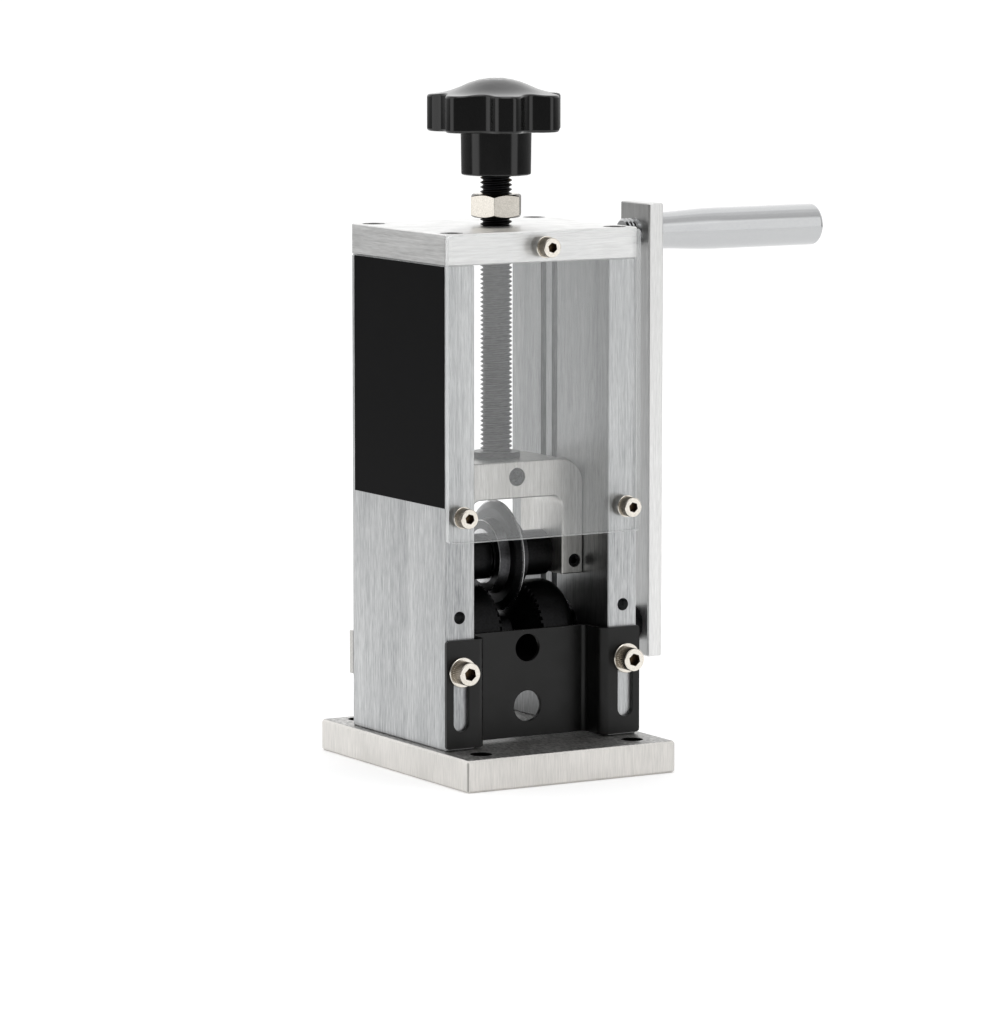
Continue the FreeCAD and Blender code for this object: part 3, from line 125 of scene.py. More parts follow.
# ------------------------------------------------------------------- finishes
@dataclass(frozen=True)
class Zone:
    """A darker part of a piece, the same left and right, front and back: painted shade, and duller finishes.

    Each span is an axis and two distances from the middle, in millimetres: nothing at the first, all at
    the second.
    """

    spans: tuple[tuple[Axis, float, float], ...]
    keep: float


@dataclass(frozen=True)
class Finish:
    """A finish with a name, made into a material once."""

    name: str

    @cache
    def material(self) -> bpy.types.Material:
        """The material of this finish, made at its first use; the frame's own materials are never taken."""
        made = bpy.data.materials.new(self.name)
        made.use_nodes = True
        tree = made.node_tree
        tree.nodes.clear()
        surface = add_node(tree, "BsdfPrincipled", self.shade(tree))["BSDF"]
        add_node(tree, "OutputMaterial", {"Surface": surface})
        return made

    def shade(self, tree: Tree) -> dict:
        """Builds the finish's patterns.

        Args:
            tree: The material's empty node tree.

        Returns:
            Value, or socket to link, for the surface shader's inputs by name.
        """
        raise NotImplementedError

    def noise(self, tree: Tree, grain_mm: tuple[float, float, float], detail: float) -> Socket:
        """A noise pattern on the object's own coordinates.

        Args:
            tree: The material's node tree.
            grain_mm: Size of one grain along x, y and z, in millimetres.
            detail: How many finer layers the noise has.

        Returns:
            The pattern, from 0 to 1.
        """
        place = add_node(tree, "TexCoord")["Object"]
        scale = Vector([1000 / size for size in grain_mm])
        place = add_node(tree, "Mapping", {"Vector": place, "Scale": scale})["Vector"]
        inputs = {"Vector": place, "Scale": 1.0, "Detail": detail, "Roughness": 0.6}
        return add_node(tree, "TexNoise", inputs)["Fac"]

    def spread(self, tree: Tree, pattern: Socket, low: float, high: float, reach: float = 0.2) -> Socket:
        """A noise pattern's useful middle, stretched between two values."""
        inputs = {"Value": pattern, "From Min": 0.5 - reach, "From Max": 0.5 + reach}
        return add_node(tree, "MapRange", inputs | {"To Min": low, "To Max": high})["Result"]

    def darkened_in_zones(self, tree: Tree, colour: Socket, zones: tuple[Zone, ...]) -> Socket:
        """A colour made darker inside each zone."""
        place = add_node(tree, "TexCoord")["Object"]
        folded = add_node(tree, "VectorMath", {0: place}, operation="ABSOLUTE")[0]
        along = add_node(tree, "SeparateXYZ", {0: folded})
        for zone in zones:
            share = 1.0
            for axis, start, end in zone.spans:
                inputs = {"Value": along[axis.value], "From Min": mm(start), "From Max": mm(end)}
                part = add_node(tree, "MapRange", inputs)["Result"]
                share = add_node(tree, "Math", {0: part, 1: share}, operation="MULTIPLY")[0]
            inputs = {0: share, 6: colour, 7: (zone.keep, zone.keep, zone.keep, 1.0)}
            colour = add_node(tree, "Mix", inputs, data_type="RGBA", blend_type="MULTIPLY")[2]
        return colour

    def blend(self, tree: Tree, share: Socket, dark: str, light: str) -> Socket:
        """A colour between two hex colours, by a share from 0 to 1."""
        inputs = {0: share, 6: linear(dark), 7: linear(light)}
        return add_node(tree, "Mix", inputs, data_type="RGBA")[2]

    def bump(self, tree: Tree, height: Socket, depth_mm: float, strength: float) -> Socket:
        """A bumped normal from a height pattern."""
        inputs = {"Height": height, "Distance": mm(depth_mm), "Strength": strength}
        return add_node(tree, "Bump", inputs)["Normal"]


@dataclass(frozen=True)
class BrushedAluminium(Finish):
    """Aluminium plate drawn past an abrasive belt: straight fine lines that blur reflections across them."""

    dark: str
    light: str
    lines: tuple[Axis, ...]
    line_mm: float = 0.8       # real lines are about 0.1 mm; drawn as coarse as they need to show
    line_length_mm: float = 30.0
    dash_mm: float = 0.6       # shorter lines between the long ones, drawn coarser too
    dash_length_mm: float = 7.0
    band_mm: float = 11.0
    roughness: tuple[float, float] = (0.32, 0.44)
    depth_mm: float = 0.02
    zones: tuple[Zone, ...] = ()

    def shade(self, tree: Tree) -> dict:
        """Builds the finish's patterns."""
        lines = self.streaks(tree, self.line_mm, self.line_length_mm, 5.0)
        dashes = self.streaks(tree, self.dash_mm, self.dash_length_mm, 3.0)
        bands = self.streaks(tree, self.band_mm, self.line_length_mm * 6, 2.0)
        fine = add_node(tree, "Mix", {0: 0.5, 2: lines, 3: dashes})[0]
        both = add_node(tree, "Mix", {0: 0.22, 2: fine, 3: bands})[0]
        colour = self.blend(tree, self.spread(tree, both, 0.0, 1.0, reach=0.15), self.dark, self.light)
        return {
            "Base Color": self.darkened_in_zones(tree, colour, self.zones),
            "Metallic": 1.0,
            "Roughness": self.spread(tree, lines, *self.roughness),
            "Normal": self.bump(tree, lines, self.depth_mm, 0.5),
        }

    def streaks(self, tree: Tree, width: float, length: float, detail: float) -> Socket:
        """Noise drawn out along the lines' direction, by a streak's width and length in millimetres."""
        grain = [width] * 3
        for axis in self.lines:
            grain[axis.value] = length
        return self.noise(tree, tuple(grain), detail)


@dataclass(frozen=True)
class MatteMetal(Finish):
    """Metal with no direction in its surface, as tumbled, plated or blackened: soft even reflections."""

    dark: str
    light: str
    grain_mm: float = 0.8
    cloud_mm: float = 14.0
    roughness: tuple[float, float] = (0.38, 0.5)
    depth_mm: float = 0.01

    def shade(self, tree: Tree) -> dict:
        """Builds the finish's patterns."""
        grain = self.noise(tree, (self.grain_mm,) * 3, 4.0)
        cloud = self.noise(tree, (self.cloud_mm,) * 3, 3.0)
        both = add_node(tree, "Mix", {0: 0.4, 2: grain, 3: cloud})[0]
        return {
            "Base Color": self.blend(tree, self.spread(tree, both, 0.0, 1.0), self.dark, self.light),
            "Metallic": 1.0,
            "Roughness": self.spread(tree, cloud, *self.roughness),
            "Normal": self.bump(tree, grain, self.depth_mm, 0.5),
        }


@dataclass(frozen=True)
class DrilledAluminium(Finish):
    """Aluminium base: grainy rolled top, finely milled edges, and painted shade on the walls of its bolt
    holes.
    """

    dark: str
    light: str
    top_dark: str
    top_light: str
    top_height: float = 13.9
    # painted shade on the bolt holes' walls
    hole_shade: str = "#1c1b1a"
    grain_mm: tuple[float, float, float] = (0.8, 2.2, 0.8)   # really about 0.2 mm; drawn coarser to show
    mill_mm: tuple[float, float, float] = (0.6, 0.6, 9.0)    # the cutter's marks run upright
    cloud_mm: float = 22.0
    roughness: tuple[float, float] = (0.36, 0.5)
    depth_mm: float = 0.02
    zones: tuple[Zone, ...] = ()
    hole_centre_y: float = 2.0
    hole_half_x: float = 38.0
    hole_half_y: float = 54.0
    hole_reach: float = 4.82

    def shade(self, tree: Tree) -> dict:
        """Builds the finish's patterns."""
        grain = self.noise(tree, self.grain_mm, 4.0)
        mill = self.noise(tree, self.mill_mm, 4.0)
        cloud = self.noise(tree, (self.cloud_mm,) * 3, 2.0)
        height = add_node(tree, "TexCoord")["Object"]
        height = add_node(tree, "SeparateXYZ", {0: height})["Z"]
        on_top = {0: height, 1: mm(self.top_height)}
        on_top = add_node(tree, "Math", on_top, operation="GREATER_THAN")[0]
        edges = add_node(tree, "Mix", {0: 0.3, 2: mill, 3: cloud})[0]
        edges = self.blend(tree, self.spread(tree, edges, 0.0, 1.0, reach=0.15), self.dark, self.light)
        top = self.blend(tree, self.spread(tree, grain, 0.0, 1.0, reach=0.15), self.top_dark, self.top_light)
        metal = add_node(tree, "Mix", {0: on_top, 6: edges, 7: top}, data_type="RGBA")[2]
        metal = self.darkened_in_zones(tree, metal, self.zones)
        # painted shade inside the four bolt holes
        inputs = {0: self.near_hole(tree), 6: metal, 7: linear(self.hole_shade)}
        colour = add_node(tree, "Mix", inputs, data_type="RGBA")[2]
        relief = add_node(tree, "Mix", {0: on_top, 2: mill, 3: grain})[0]
        return {
            "Base Color": colour,
            "Metallic": 1.0,
            "Roughness": self.spread(tree, relief, *self.roughness),
            "Normal": self.bump(tree, relief, self.depth_mm, 0.5),
        }

    def near_hole(self, tree: Tree) -> Socket:
        """1 on the walls of the four bolt holes, 0 elsewhere."""
        place = add_node(tree, "TexCoord")["Object"]
        centre = spot(0, -self.hole_centre_y, 0)
        centred = add_node(tree, "Mapping", {"Vector": place, "Location": centre})["Vector"]
        folded = add_node(tree, "VectorMath", {0: centred}, operation="ABSOLUTE")[0]
        flat = {0: folded, 1: Vector((1, 1, 0))}
        flat = add_node(tree, "VectorMath", flat, operation="MULTIPLY")[0]
        centre = {0: flat, 1: spot(self.hole_half_x, self.hole_half_y, 0)}
        away = add_node(tree, "VectorMath", centre, operation="DISTANCE")["Value"]
        return add_node(tree, "Math", {0: away, 1: mm(self.hole_reach)}, operation="LESS_THAN")[0]


@dataclass(frozen=True)
class MouldedPlastic(Finish):
    """Injection-moulded or painted surface: deep colour under a sheen, with a faint ripple."""

    dark: str
    light: str
    ripple_mm: float = 3.0
    roughness: tuple[float, float] = (0.2, 0.3)
    depth_mm: float = 0.02
    coat: float = 0.0
    ior: float = 1.5

    def shade(self, tree: Tree) -> dict:
        """Builds the finish's patterns."""
        ripple = self.noise(tree, (self.ripple_mm,) * 3, 2.0)
        cloud = self.noise(tree, (self.ripple_mm * 6,) * 3, 3.0)
        return {
            "Base Color": self.blend(tree, self.spread(tree, cloud, 0.0, 1.0), self.dark, self.light),
            "IOR": self.ior,
            "Roughness": self.spread(tree, cloud, *self.roughness),
            "Coat Weight": self.coat,
            "Coat Roughness": 0.1,
            "Normal": self.bump(tree, ripple, self.depth_mm, 0.4),
        }


@dataclass(frozen=True)
class ClearAcrylic(Finish):
    """Cast acrylic sheet: what stands behind it shows under a thin even veil of reflected light."""

    tint: str
    veil: float = 0.085
    veil_spread: float = 0.06
    haze_mm: float = 60.0
    roughness: tuple[float, float] = (0.1, 0.16)
    metallic: float = 1.0

    def shade(self, tree: Tree) -> dict:
        """Builds the finish's patterns."""
        haze = self.noise(tree, (self.haze_mm,) * 3, 2.0)
        veil = (self.veil * (1 - self.veil_spread), self.veil * (1 + self.veil_spread))
        return {
            "Base Color": linear(self.tint),
            "Metallic": self.metallic,
            "Roughness": self.spread(tree, haze, *self.roughness),
            "Alpha": self.spread(tree, haze, *veil),
        }


PLATE_INNER_SHADE = Zone(((Axis.X, 33.9, 33.7),), 0.6)      # faces that face each other: painted shade where little light reaches between the plates
# more painted shade on the plates' inner faces, deeper towards the bottom
PLATE_LOW_SHADE = Zone(((Axis.X, 33.9, 33.7), (Axis.Z, 115.0, 75.0)), 0.78)
TOP_ENDS = Zone(((Axis.X, 47.6, 47.9),), 0.78)         # sawn ends
ARM_BACK_SHADE = Zone(((Axis.X, 71.7, 71.1), (Axis.Z, 222.0, 234.0)), 0.5)   # painted shade on the arm's back from the handle's height up, for the dark gap it mirrors
BASE_CORNERS = Zone(((Axis.X, 51.3, 51.7), (Axis.Y, 64.1, 64.5)), 0.35)

SIDE_ALUMINIUM = BrushedAluminium(
    "brushed_aluminium_upright", "#858789", "#d3d4d4", (Axis.Z,), zones=(PLATE_INNER_SHADE, PLATE_LOW_SHADE)
)
TOP_ALUMINIUM = BrushedAluminium(
    "brushed_aluminium_across", "#d0d0cf", "#f6f6f5", (Axis.X, Axis.Y), zones=(TOP_ENDS,)
)
ARM_ALUMINIUM = BrushedAluminium(
    "brushed_aluminium_arm", "#cfcfce", "#eeeeed", (Axis.Z,), zones=(ARM_BACK_SHADE,)
)
YOKE_ALUMINIUM = BrushedAluminium("brushed_aluminium_yoke", "#95938f", "#d2d1ce", (Axis.Z,))
BASE_ALUMINIUM = DrilledAluminium(
    "milled_aluminium_base", "#cbc9c5", "#e6e3df", "#7a7978", "#cfcecc", zones=(BASE_CORNERS,)
)
REST_ALUMINIUM = MatteMetal("tumbled_aluminium_rest", "#b4b3b0", "#d2d1ce", grain_mm=0.9)
NICKEL = MatteMetal("nickel_plated_steel", "#cfc9bf", "#ece7de", roughness=(0.16, 0.24), depth_mm=0.004)
# painted reflection of dark surroundings on the lock nut's chamfers
NUT_CHAMFER_SHADE = MatteMetal(
    "nut_chamfer_painted_shade", "#2c2620", "#4d453b", roughness=(0.2, 0.3), depth_mm=0.004
)
KNURLED_NICKEL = MatteMetal(
    "knurled_nickel", "#756d62", "#a39a8d", grain_mm=0.5, roughness=(0.26, 0.38), depth_mm=0.02
)
# painted shade inside the cap screws' hex sockets
SOCKET_SHADE = MatteMetal("socket_painted_shade", "#2c2219", "#66553f", roughness=(0.3, 0.5))
BEARING_STEEL = MatteMetal(
    "ground_bearing_steel", "#b9b9ba", "#dcdcdd", roughness=(0.12, 0.2), depth_mm=0.003
)
GRIP_STEEL = MatteMetal(
    "polished_steel_grip", "#b5b6b8", "#bebfbf", cloud_mm=60.0, roughness=(0.13, 0.16), depth_mm=0.001
)
BLACK_OXIDE = MatteMetal("blackened_steel", "#151515", "#272728", roughness=(0.3, 0.44))
ROD_OXIDE = MatteMetal("black_oxide_rod", "#141415", "#2b2b2c", roughness=(0.3, 0.42), depth_mm=0.006)
BLADE_STEEL = MatteMetal(
    "hardened_blade_steel", "#343435", "#525254", roughness=(0.26, 0.36), depth_mm=0.004
)
# bright honed cutting edge, also used as a painted highlight on the blade's boss rims
HONED_EDGE_AND_RIM_HIGHLIGHT = MatteMetal("honed_edge_and_painted_rim_highlight", "#b4b4b5", "#d6d6d7", roughness=(0.2, 0.3), depth_mm=0.002)
BRASS = MatteMetal("turned_brass", "#a8864a", "#c9a765", roughness=(0.24, 0.34), depth_mm=0.005)
KNOB_PLASTIC = MouldedPlastic(
    "black_moulded_phenolic", "#050505", "#0a0a0a", roughness=(0.1, 0.14), depth_mm=0.006
)
GUIDE_PAINT = MouldedPlastic(
    "black_painted_sheet", "#060606", "#0e0e0d", ripple_mm=1.6, roughness=(0.3, 0.42), ior=1.38
)
LABEL_FILM = MouldedPlastic(
    "black_vinyl_film", "#070708", "#0e0e0f", ripple_mm=5.0, roughness=(0.4, 0.48), ior=1.1
)
ACRYLIC = ClearAcrylic("cast_acrylic", "#f4f6f6")
ACRYLIC_EDGE = ClearAcrylic("sawn_acrylic_edge", "#f2f4f4", veil=0.55, metallic=0.0)


# ------------------------------------------------------------------- workbench
class Workpiece:
    """One mesh on the bench, shaped by edit-mode operators and handed over finished."""

    def __init__(self, name: str) -> None:
        """Takes on the object that was just added, and settles its place into its mesh."""
        self.thing = bpy.context.object
        self.thing.name = name
        self.thing.data.name = name
        bpy.ops.object.transform_apply(location=True, rotation=True, scale=True)

    def take_up(self) -> None:
        """Makes this the only selected object, and the active one."""
        bpy.ops.object.select_all(action="DESELECT")
        self.thing.select_set(True)
        bpy.context.view_layer.objects.active = self.thing

    def open(self, kind: Kind = Kind.VERTEX) -> None:
        """Enters edit mode with all of one kind selected."""
        self.take_up()
        bpy.ops.object.mode_set(mode="EDIT")
        bpy.ops.mesh.select_mode(type=kind.value)
        bpy.ops.mesh.select_all(action="SELECT")

    def close(self) -> None:
        """Merges doubles, turns all faces outward and leaves edit mode."""
        bpy.ops.mesh.select_all(action="SELECT")
        bpy.ops.mesh.remove_doubles(threshold=SAME_PLACE)
        bpy.ops.mesh.normals_make_consistent(inside=False)
        bpy.ops.object.mode_set(mode="OBJECT")

    def pick(self, kind: Kind, test: Test) -> None:
        """Selects the vertices, edges or faces that pass a test, in edit mode.

        Args:
            kind: What to select.
            test: Takes the middle and the direction (a normal, or an edge's run) of one of them.
        """
        bpy.ops.mesh.select_mode(type=kind.value)
        bpy.ops.mesh.select_all(action="DESELECT")
        shape = bmesh.from_edit_mesh(self.thing.data)
        if kind is Kind.VERTEX:
            chosen = [vertex for vertex in shape.verts if test(vertex.co, vertex.normal)]
        elif kind is Kind.FACE:
            chosen = [face for face in shape.faces if test(face.calc_center_median(), face.normal)]
        else:
            chosen = []
            for edge in shape.edges:
                first, second = (vertex.co for vertex in edge.verts)
                if test((first + second) / 2, (second - first).normalized()):
                    chosen.append(edge)
        for part in chosen:
            part.select_set(True)
        bmesh.update_edit_mesh(self.thing.data)

    def place(self, facing: Facing, centre: Vector) -> "Workpiece":
        """Turns the piece from upright and moves its origin to its place."""
        self.take_up()
        self.thing.rotation_euler = [math.radians(turn) for turn in facing.value]
        self.thing.location = centre
        bpy.ops.object.transform_apply(location=True, rotation=True, scale=True)
        return self

    def apply(self, kind: str, **settings) -> None:
        """Adds one modifier with its settings and applies it."""
        self.take_up()
        modifier = self.thing.modifiers.new(kind.lower(), kind)
        for name, value in settings.items():
            setattr(modifier, name, value)
        bpy.ops.object.modifier_apply(modifier=modifier.name)

    def soften(self, width_mm: float, angle: float = 35.0, segments: int = 2) -> None:
        """Rounds every edge that is sharper than an angle, in degrees."""
        limit = math.radians(angle)
        self.apply("BEVEL", width=mm(width_mm), segments=segments, limit_method="ANGLE", angle_limit=limit)

    def combine(self, other: "Workpiece", how: str = "DIFFERENCE") -> None:
        """Cuts another piece out of this one, or keeps what they share, and scraps the other."""
        self.apply("BOOLEAN", object=other.thing, operation=how, solver="EXACT")
        bpy.data.objects.remove(other.thing)

    def join(self, other: "Workpiece") -> None:
        """Makes another piece part of this mesh."""
        self.take_up()
        other.thing.select_set(True)
        bpy.ops.object.join()

    def copy(self, name: str) -> "Workpiece":
        """A second piece of the same shape, with its own mesh."""
        self.take_up()
        bpy.ops.object.duplicate(linked=False)
        return Workpiece(name)

    def coat(self, finish: Finish, smooth: float = 32.0) -> None:
        """Gives the whole piece a finish, and smooth shading up to an angle in degrees."""
        self.take_up()
        bpy.ops.object.shade_smooth_by_angle(angle=math.radians(smooth))
        self.apply("WEIGHTED_NORMAL", keep_sharp=True)
        self.thing.data.materials.clear()
        self.thing.data.materials.append(finish.material())

    def paint(self, finish: Finish, test: Test) -> None:
        """Gives the faces that pass a test a finish of their own."""
        self.thing.data.materials.append(finish.material())
        for face in self.thing.data.polygons:
            if test(face.center, face.normal):
                face.material_index = len(self.thing.data.materials) - 1

    def hand_over(self, body: str, slot: str, *nodes: str) -> None:
        """Lets the piece ride on its body in place of CAD nodes."""
        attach(self.thing, body)
        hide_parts(*nodes)
        LOG.info("%s on %s, for %s", self.thing.name, body, ", ".join(nodes))


def turned(name: str, profile: Profile, sides: int = 96, ring: bool = False) -> Workpiece:
    """Turns a profile about the upright axis, one extruded ring after another.

    Args:
        name: The piece's name.
        profile: Radius and height of each corner, in millimetres.
        sides: How many flats make a round.
        ring: Whether the last corner joins the first, as on a washer; otherwise both ends are capped.

    Returns:
        The turned piece.
    """
    radius, height = profile[0]
    bpy.ops.mesh.primitive_circle_add(vertices=sides, radius=mm(radius), location=spot(0, 0, height))
    work = Workpiece(name)
    work.open(Kind.EDGE)
    for next_radius, next_height in profile[1:] + (profile[:1] if ring else []):
        rise = spot(0, 0, next_height - height)
        bpy.ops.mesh.extrude_edges_move(TRANSFORM_OT_translate={"value": rise})
        factor = next_radius / radius
        centre = spot(0, 0, next_height)
        bpy.ops.transform.resize(value=(factor, factor, 1), center_override=centre)
        radius, height = next_radius, next_height
    if not ring:
        bpy.ops.mesh.select_all(action="SELECT")
        bpy.ops.mesh.fill_holes(sides=0)
    work.close()
    return work


def drawn(name: str, points: list[Vector]) -> Workpiece:
    """A line from point to point, drawn from one vertex."""
    bpy.ops.mesh.primitive_plane_add(size=mm(1), location=points[0])
    work = Workpiece(name)
    work.open()
    bpy.ops.mesh.merge(type="CENTER")
    for here, there in zip(points, points[1:]):
        bpy.ops.mesh.extrude_vertices_move(TRANSFORM_OT_translate={"value": there - here})
    bpy.ops.object.mode_set(mode="OBJECT")
    return work


def prism(
    name: str, across: float, bottom: float, top: float, sides: int = 6, turn: float = 0.0
) -> Workpiece:
    """An upright prism, by its width over flats, its two heights in millimetres and its turn in degrees."""
    bpy.ops.mesh.primitive_cylinder_add(
        vertices=sides,
        radius=mm(across / 2 / math.cos(math.pi / sides)),
        depth=mm(top - bottom),
        location=spot(0, 0, (bottom + top) / 2),
        rotation=(0, 0, math.radians(turn)),
    )
    return Workpiece(name)


def block(name: str, low: Vector, high: Vector) -> Workpiece:
    """A rectangular block between two corners."""
    bpy.ops.mesh.primitive_cube_add(size=1, location=(low + high) / 2, scale=high - low)
    return Workpiece(name)


def arc(centre: tuple[float, float], radius: float, start: float, end: float, steps: int) -> Profile:
    """Points along an arc, from one angle in degrees to another."""
    angles = [math.radians(start + (end - start) * step / steps) for step in range(steps + 1)]
    return [(centre[0] + radius * math.cos(angle), centre[1] + radius * math.sin(angle)) for angle in angles]


def dress(node: str, finish: Finish) -> None:
    """Gives a node of the frame its finish."""
    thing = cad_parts[node]
    material = finish.material()
    if not thing.material_slots:
        thing.data.materials.append(material)
    for slot in thing.material_slots:
        slot.material = material
    LOG.info("%s: %s", node, finish.name)


@dataclass(frozen=True)
class CapScrew:
    """A hexagon socket cap screw, in millimetres, upright with its seat at height 0."""

    shank_r: float
    head_r: float
    head_height: float
    socket: float
    socket_depth: float
    length: float
    knurls: int = 36
    edge: float = 0.45
    foot: float = 0.2
    tip: float = 0.5
    knurl_depth: float = 0.05
    socket_turn: float = 12.0

    def make(self, name: str) -> Workpiece:
        """Turns the screw, knurls its head and sinks its socket."""
        shoulder = self.head_height - self.edge
        profile = [(self.shank_r - self.tip, -self.length), (self.shank_r, self.tip - self.length)]
        profile += [(self.shank_r, 0), (self.head_r - self.foot, 0), (self.head_r, self.foot)]
        profile += arc((self.head_r - self.edge, shoulder), self.edge, 0, 90, 3)
        screw = turned(name, profile, sides=2 * self.knurls)
        screw.open()
        step = math.pi / self.knurls
        rim = mm(self.head_r - NEAR)

        def in_groove(place: Vector, _: Vector) -> bool:
            count = round(math.atan2(place.y, place.x) / step)
            return place.xy.length > rim and count % 2 == 1

        screw.pick(Kind.VERTEX, in_groove)
        factor = 1 - self.knurl_depth
        bpy.ops.transform.resize(value=(factor, factor, 1), center_override=(0, 0, 0))
        screw.close()
        floor = self.head_height - self.socket_depth
        screw.combine(prism("socket", self.socket, floor, self.head_height + 1, turn=self.socket_turn))
        screw.coat(NICKEL)
        reach = mm(self.socket / 2 / math.cos(math.pi / 6) + NEAR)
        bottom = mm(floor - NEAR)
        top = mm(self.head_height - NEAR)
        # painted shade inside the hex socket
        screw.paint(SOCKET_SHADE, lambda place, _: place.xy.length < reach and bottom < place.z < top)
        barrel = mm(self.head_r - 0.6)

        def on_barrel(place: Vector, way: Vector) -> bool:
            return place.xy.length > barrel and place.z > 0 and abs(way.z) < 0.3

        screw.paint(KNURLED_NICKEL, on_barrel)
        return screw


def washer(name: str, inner: float, outer: float, thick: float, edge: float) -> Workpiece:
    """A nickel-plated flat ring on height 0, its outer corners broken; sizes in millimetres."""
    profile = [(inner, 0.0), (outer - edge, 0.0), (outer, edge)]
    profile += [(outer, thick - edge), (outer - edge, thick), (inner, thick)]
    ring = turned(name, profile, ring=True)
    ring.coat(NICKEL)
    return ring


def set_fasteners(models: list[tuple[Workpiece, float, str]], places: dict[str, Vector]) -> None:
    """Copies each model to every place on the machine's front, then scraps the models.

    Args:
        models: Each model, how far in front of the place it sits in millimetres, and the node it replaces.
        places: Each copy's place, by the word that ends its name.
    """
    for word, face in places.items():
        for model, ahead, node in models:
            piece = model.copy(f"{model.thing.name}_{word}").place(Facing.FRONT, face + spot(0, -ahead, 0))
            piece.hand_over("frame", "bright_screws", node)
    for model, _, _ in models:
        bpy.data.objects.remove(model.thing)


# ---------------------------------------------------------------- sub-assemblies
@dataclass
class Assembly:
    """Pieces that are built together."""

    finishes: ClassVar[dict[Finish, tuple[str, ...]]] = {}

    def build(self) -> None:
        """Dresses the frame's nodes that this assembly keeps as they are."""
        for finish, nodes in self.finishes.items():
            for node in nodes:
                dress(node, finish)


@dataclass
class PlateFrame(Assembly):
    """Base, side plates, top plate, shield, label and rear wire rest, in millimetres."""

    half_width: float = 48.0
    shield_front: float = -42.0
    shield_back: float = -39.12
    shield_bottom: float = 103.8
    shield_top: float = 235.5
    shield_corner: float = 2.0
    lower_screw_x: float = 41.0
    lower_screw_z: float = 115.0
    top_screw_z: float = 229.25
    ring_r: float = 4.75
    ring_thick: float = 0.8
    ring_gap: float = 0.02
    ring_edge: float = 0.15
    screw: CapScrew = CapScrew(2.5, 4.25, 5.0, 4.0, 2.5, 16.0)
    screw_gap: float = 0.25
    finishes = {
        BASE_ALUMINIUM: ("base_plate",),
        SIDE_ALUMINIUM: ("left_side_plate", "right_side_plate"),
        TOP_ALUMINIUM: ("top_plate",),
        NICKEL: ("base_screws", "rear_rest_screws"),
        BLACK_OXIDE: ("top_screws",),
        LABEL_FILM: ("side_label",),
        REST_ALUMINIUM: ("rear_wire_rest",),
    }

    def screw_places(self) -> dict[str, Vector]:
        """Places of the shield's three screws on its front face."""
        return {
            "left": spot(-self.lower_screw_x, self.shield_front, self.lower_screw_z),
            "right": spot(self.lower_screw_x, self.shield_front, self.lower_screw_z),
            "top": spot(0.0, self.shield_front, self.top_screw_z),
        }

    def build(self) -> None:
        """Dresses the frame's nodes and builds the shield with its screws."""
        super().build()
        self.add_shield()
        self.add_screws()

    def add_shield(self) -> None:
        """A clear sheet with rounded corners, polished faces and sawn edges."""
        low = spot(-self.half_width, self.shield_front, self.shield_bottom)
        high = spot(self.half_width, self.shield_back, self.shield_top)
        sheet = block("clear_shield", low, high)
        sheet.open()
        sheet.pick(Kind.EDGE, lambda _, way: abs(way.y) > ALONG)
        bpy.ops.mesh.bevel(offset=mm(self.shield_corner), segments=6)
        sheet.close()
        for place in self.screw_places().values():
            drill = prism("drill", 2 * (self.screw.shank_r + self.screw_gap), -10, 10, sides=48)
            sheet.combine(drill.place(Facing.FRONT, place))
        sheet.soften(0.3, angle=60, segments=1)
        sheet.coat(ACRYLIC, smooth=20)
        sheet.paint(ACRYLIC_EDGE, lambda _, way: abs(way.y) < ALONG)
        sheet.hand_over("frame", "clear_acrylic", "safety_shield")

    def add_screws(self) -> None:
        """Three cap screws, each on a thin ring."""
        screw = self.screw.make("shield_screw")
        inner = self.screw.shank_r + self.ring_gap
        ring = washer("shield_ring", inner, self.ring_r, self.ring_thick, self.ring_edge)
        models = [(screw, self.ring_thick, "shield_screws"), (ring, 0.0, "shield_spacers")]
        set_fasteners(models, self.screw_places())


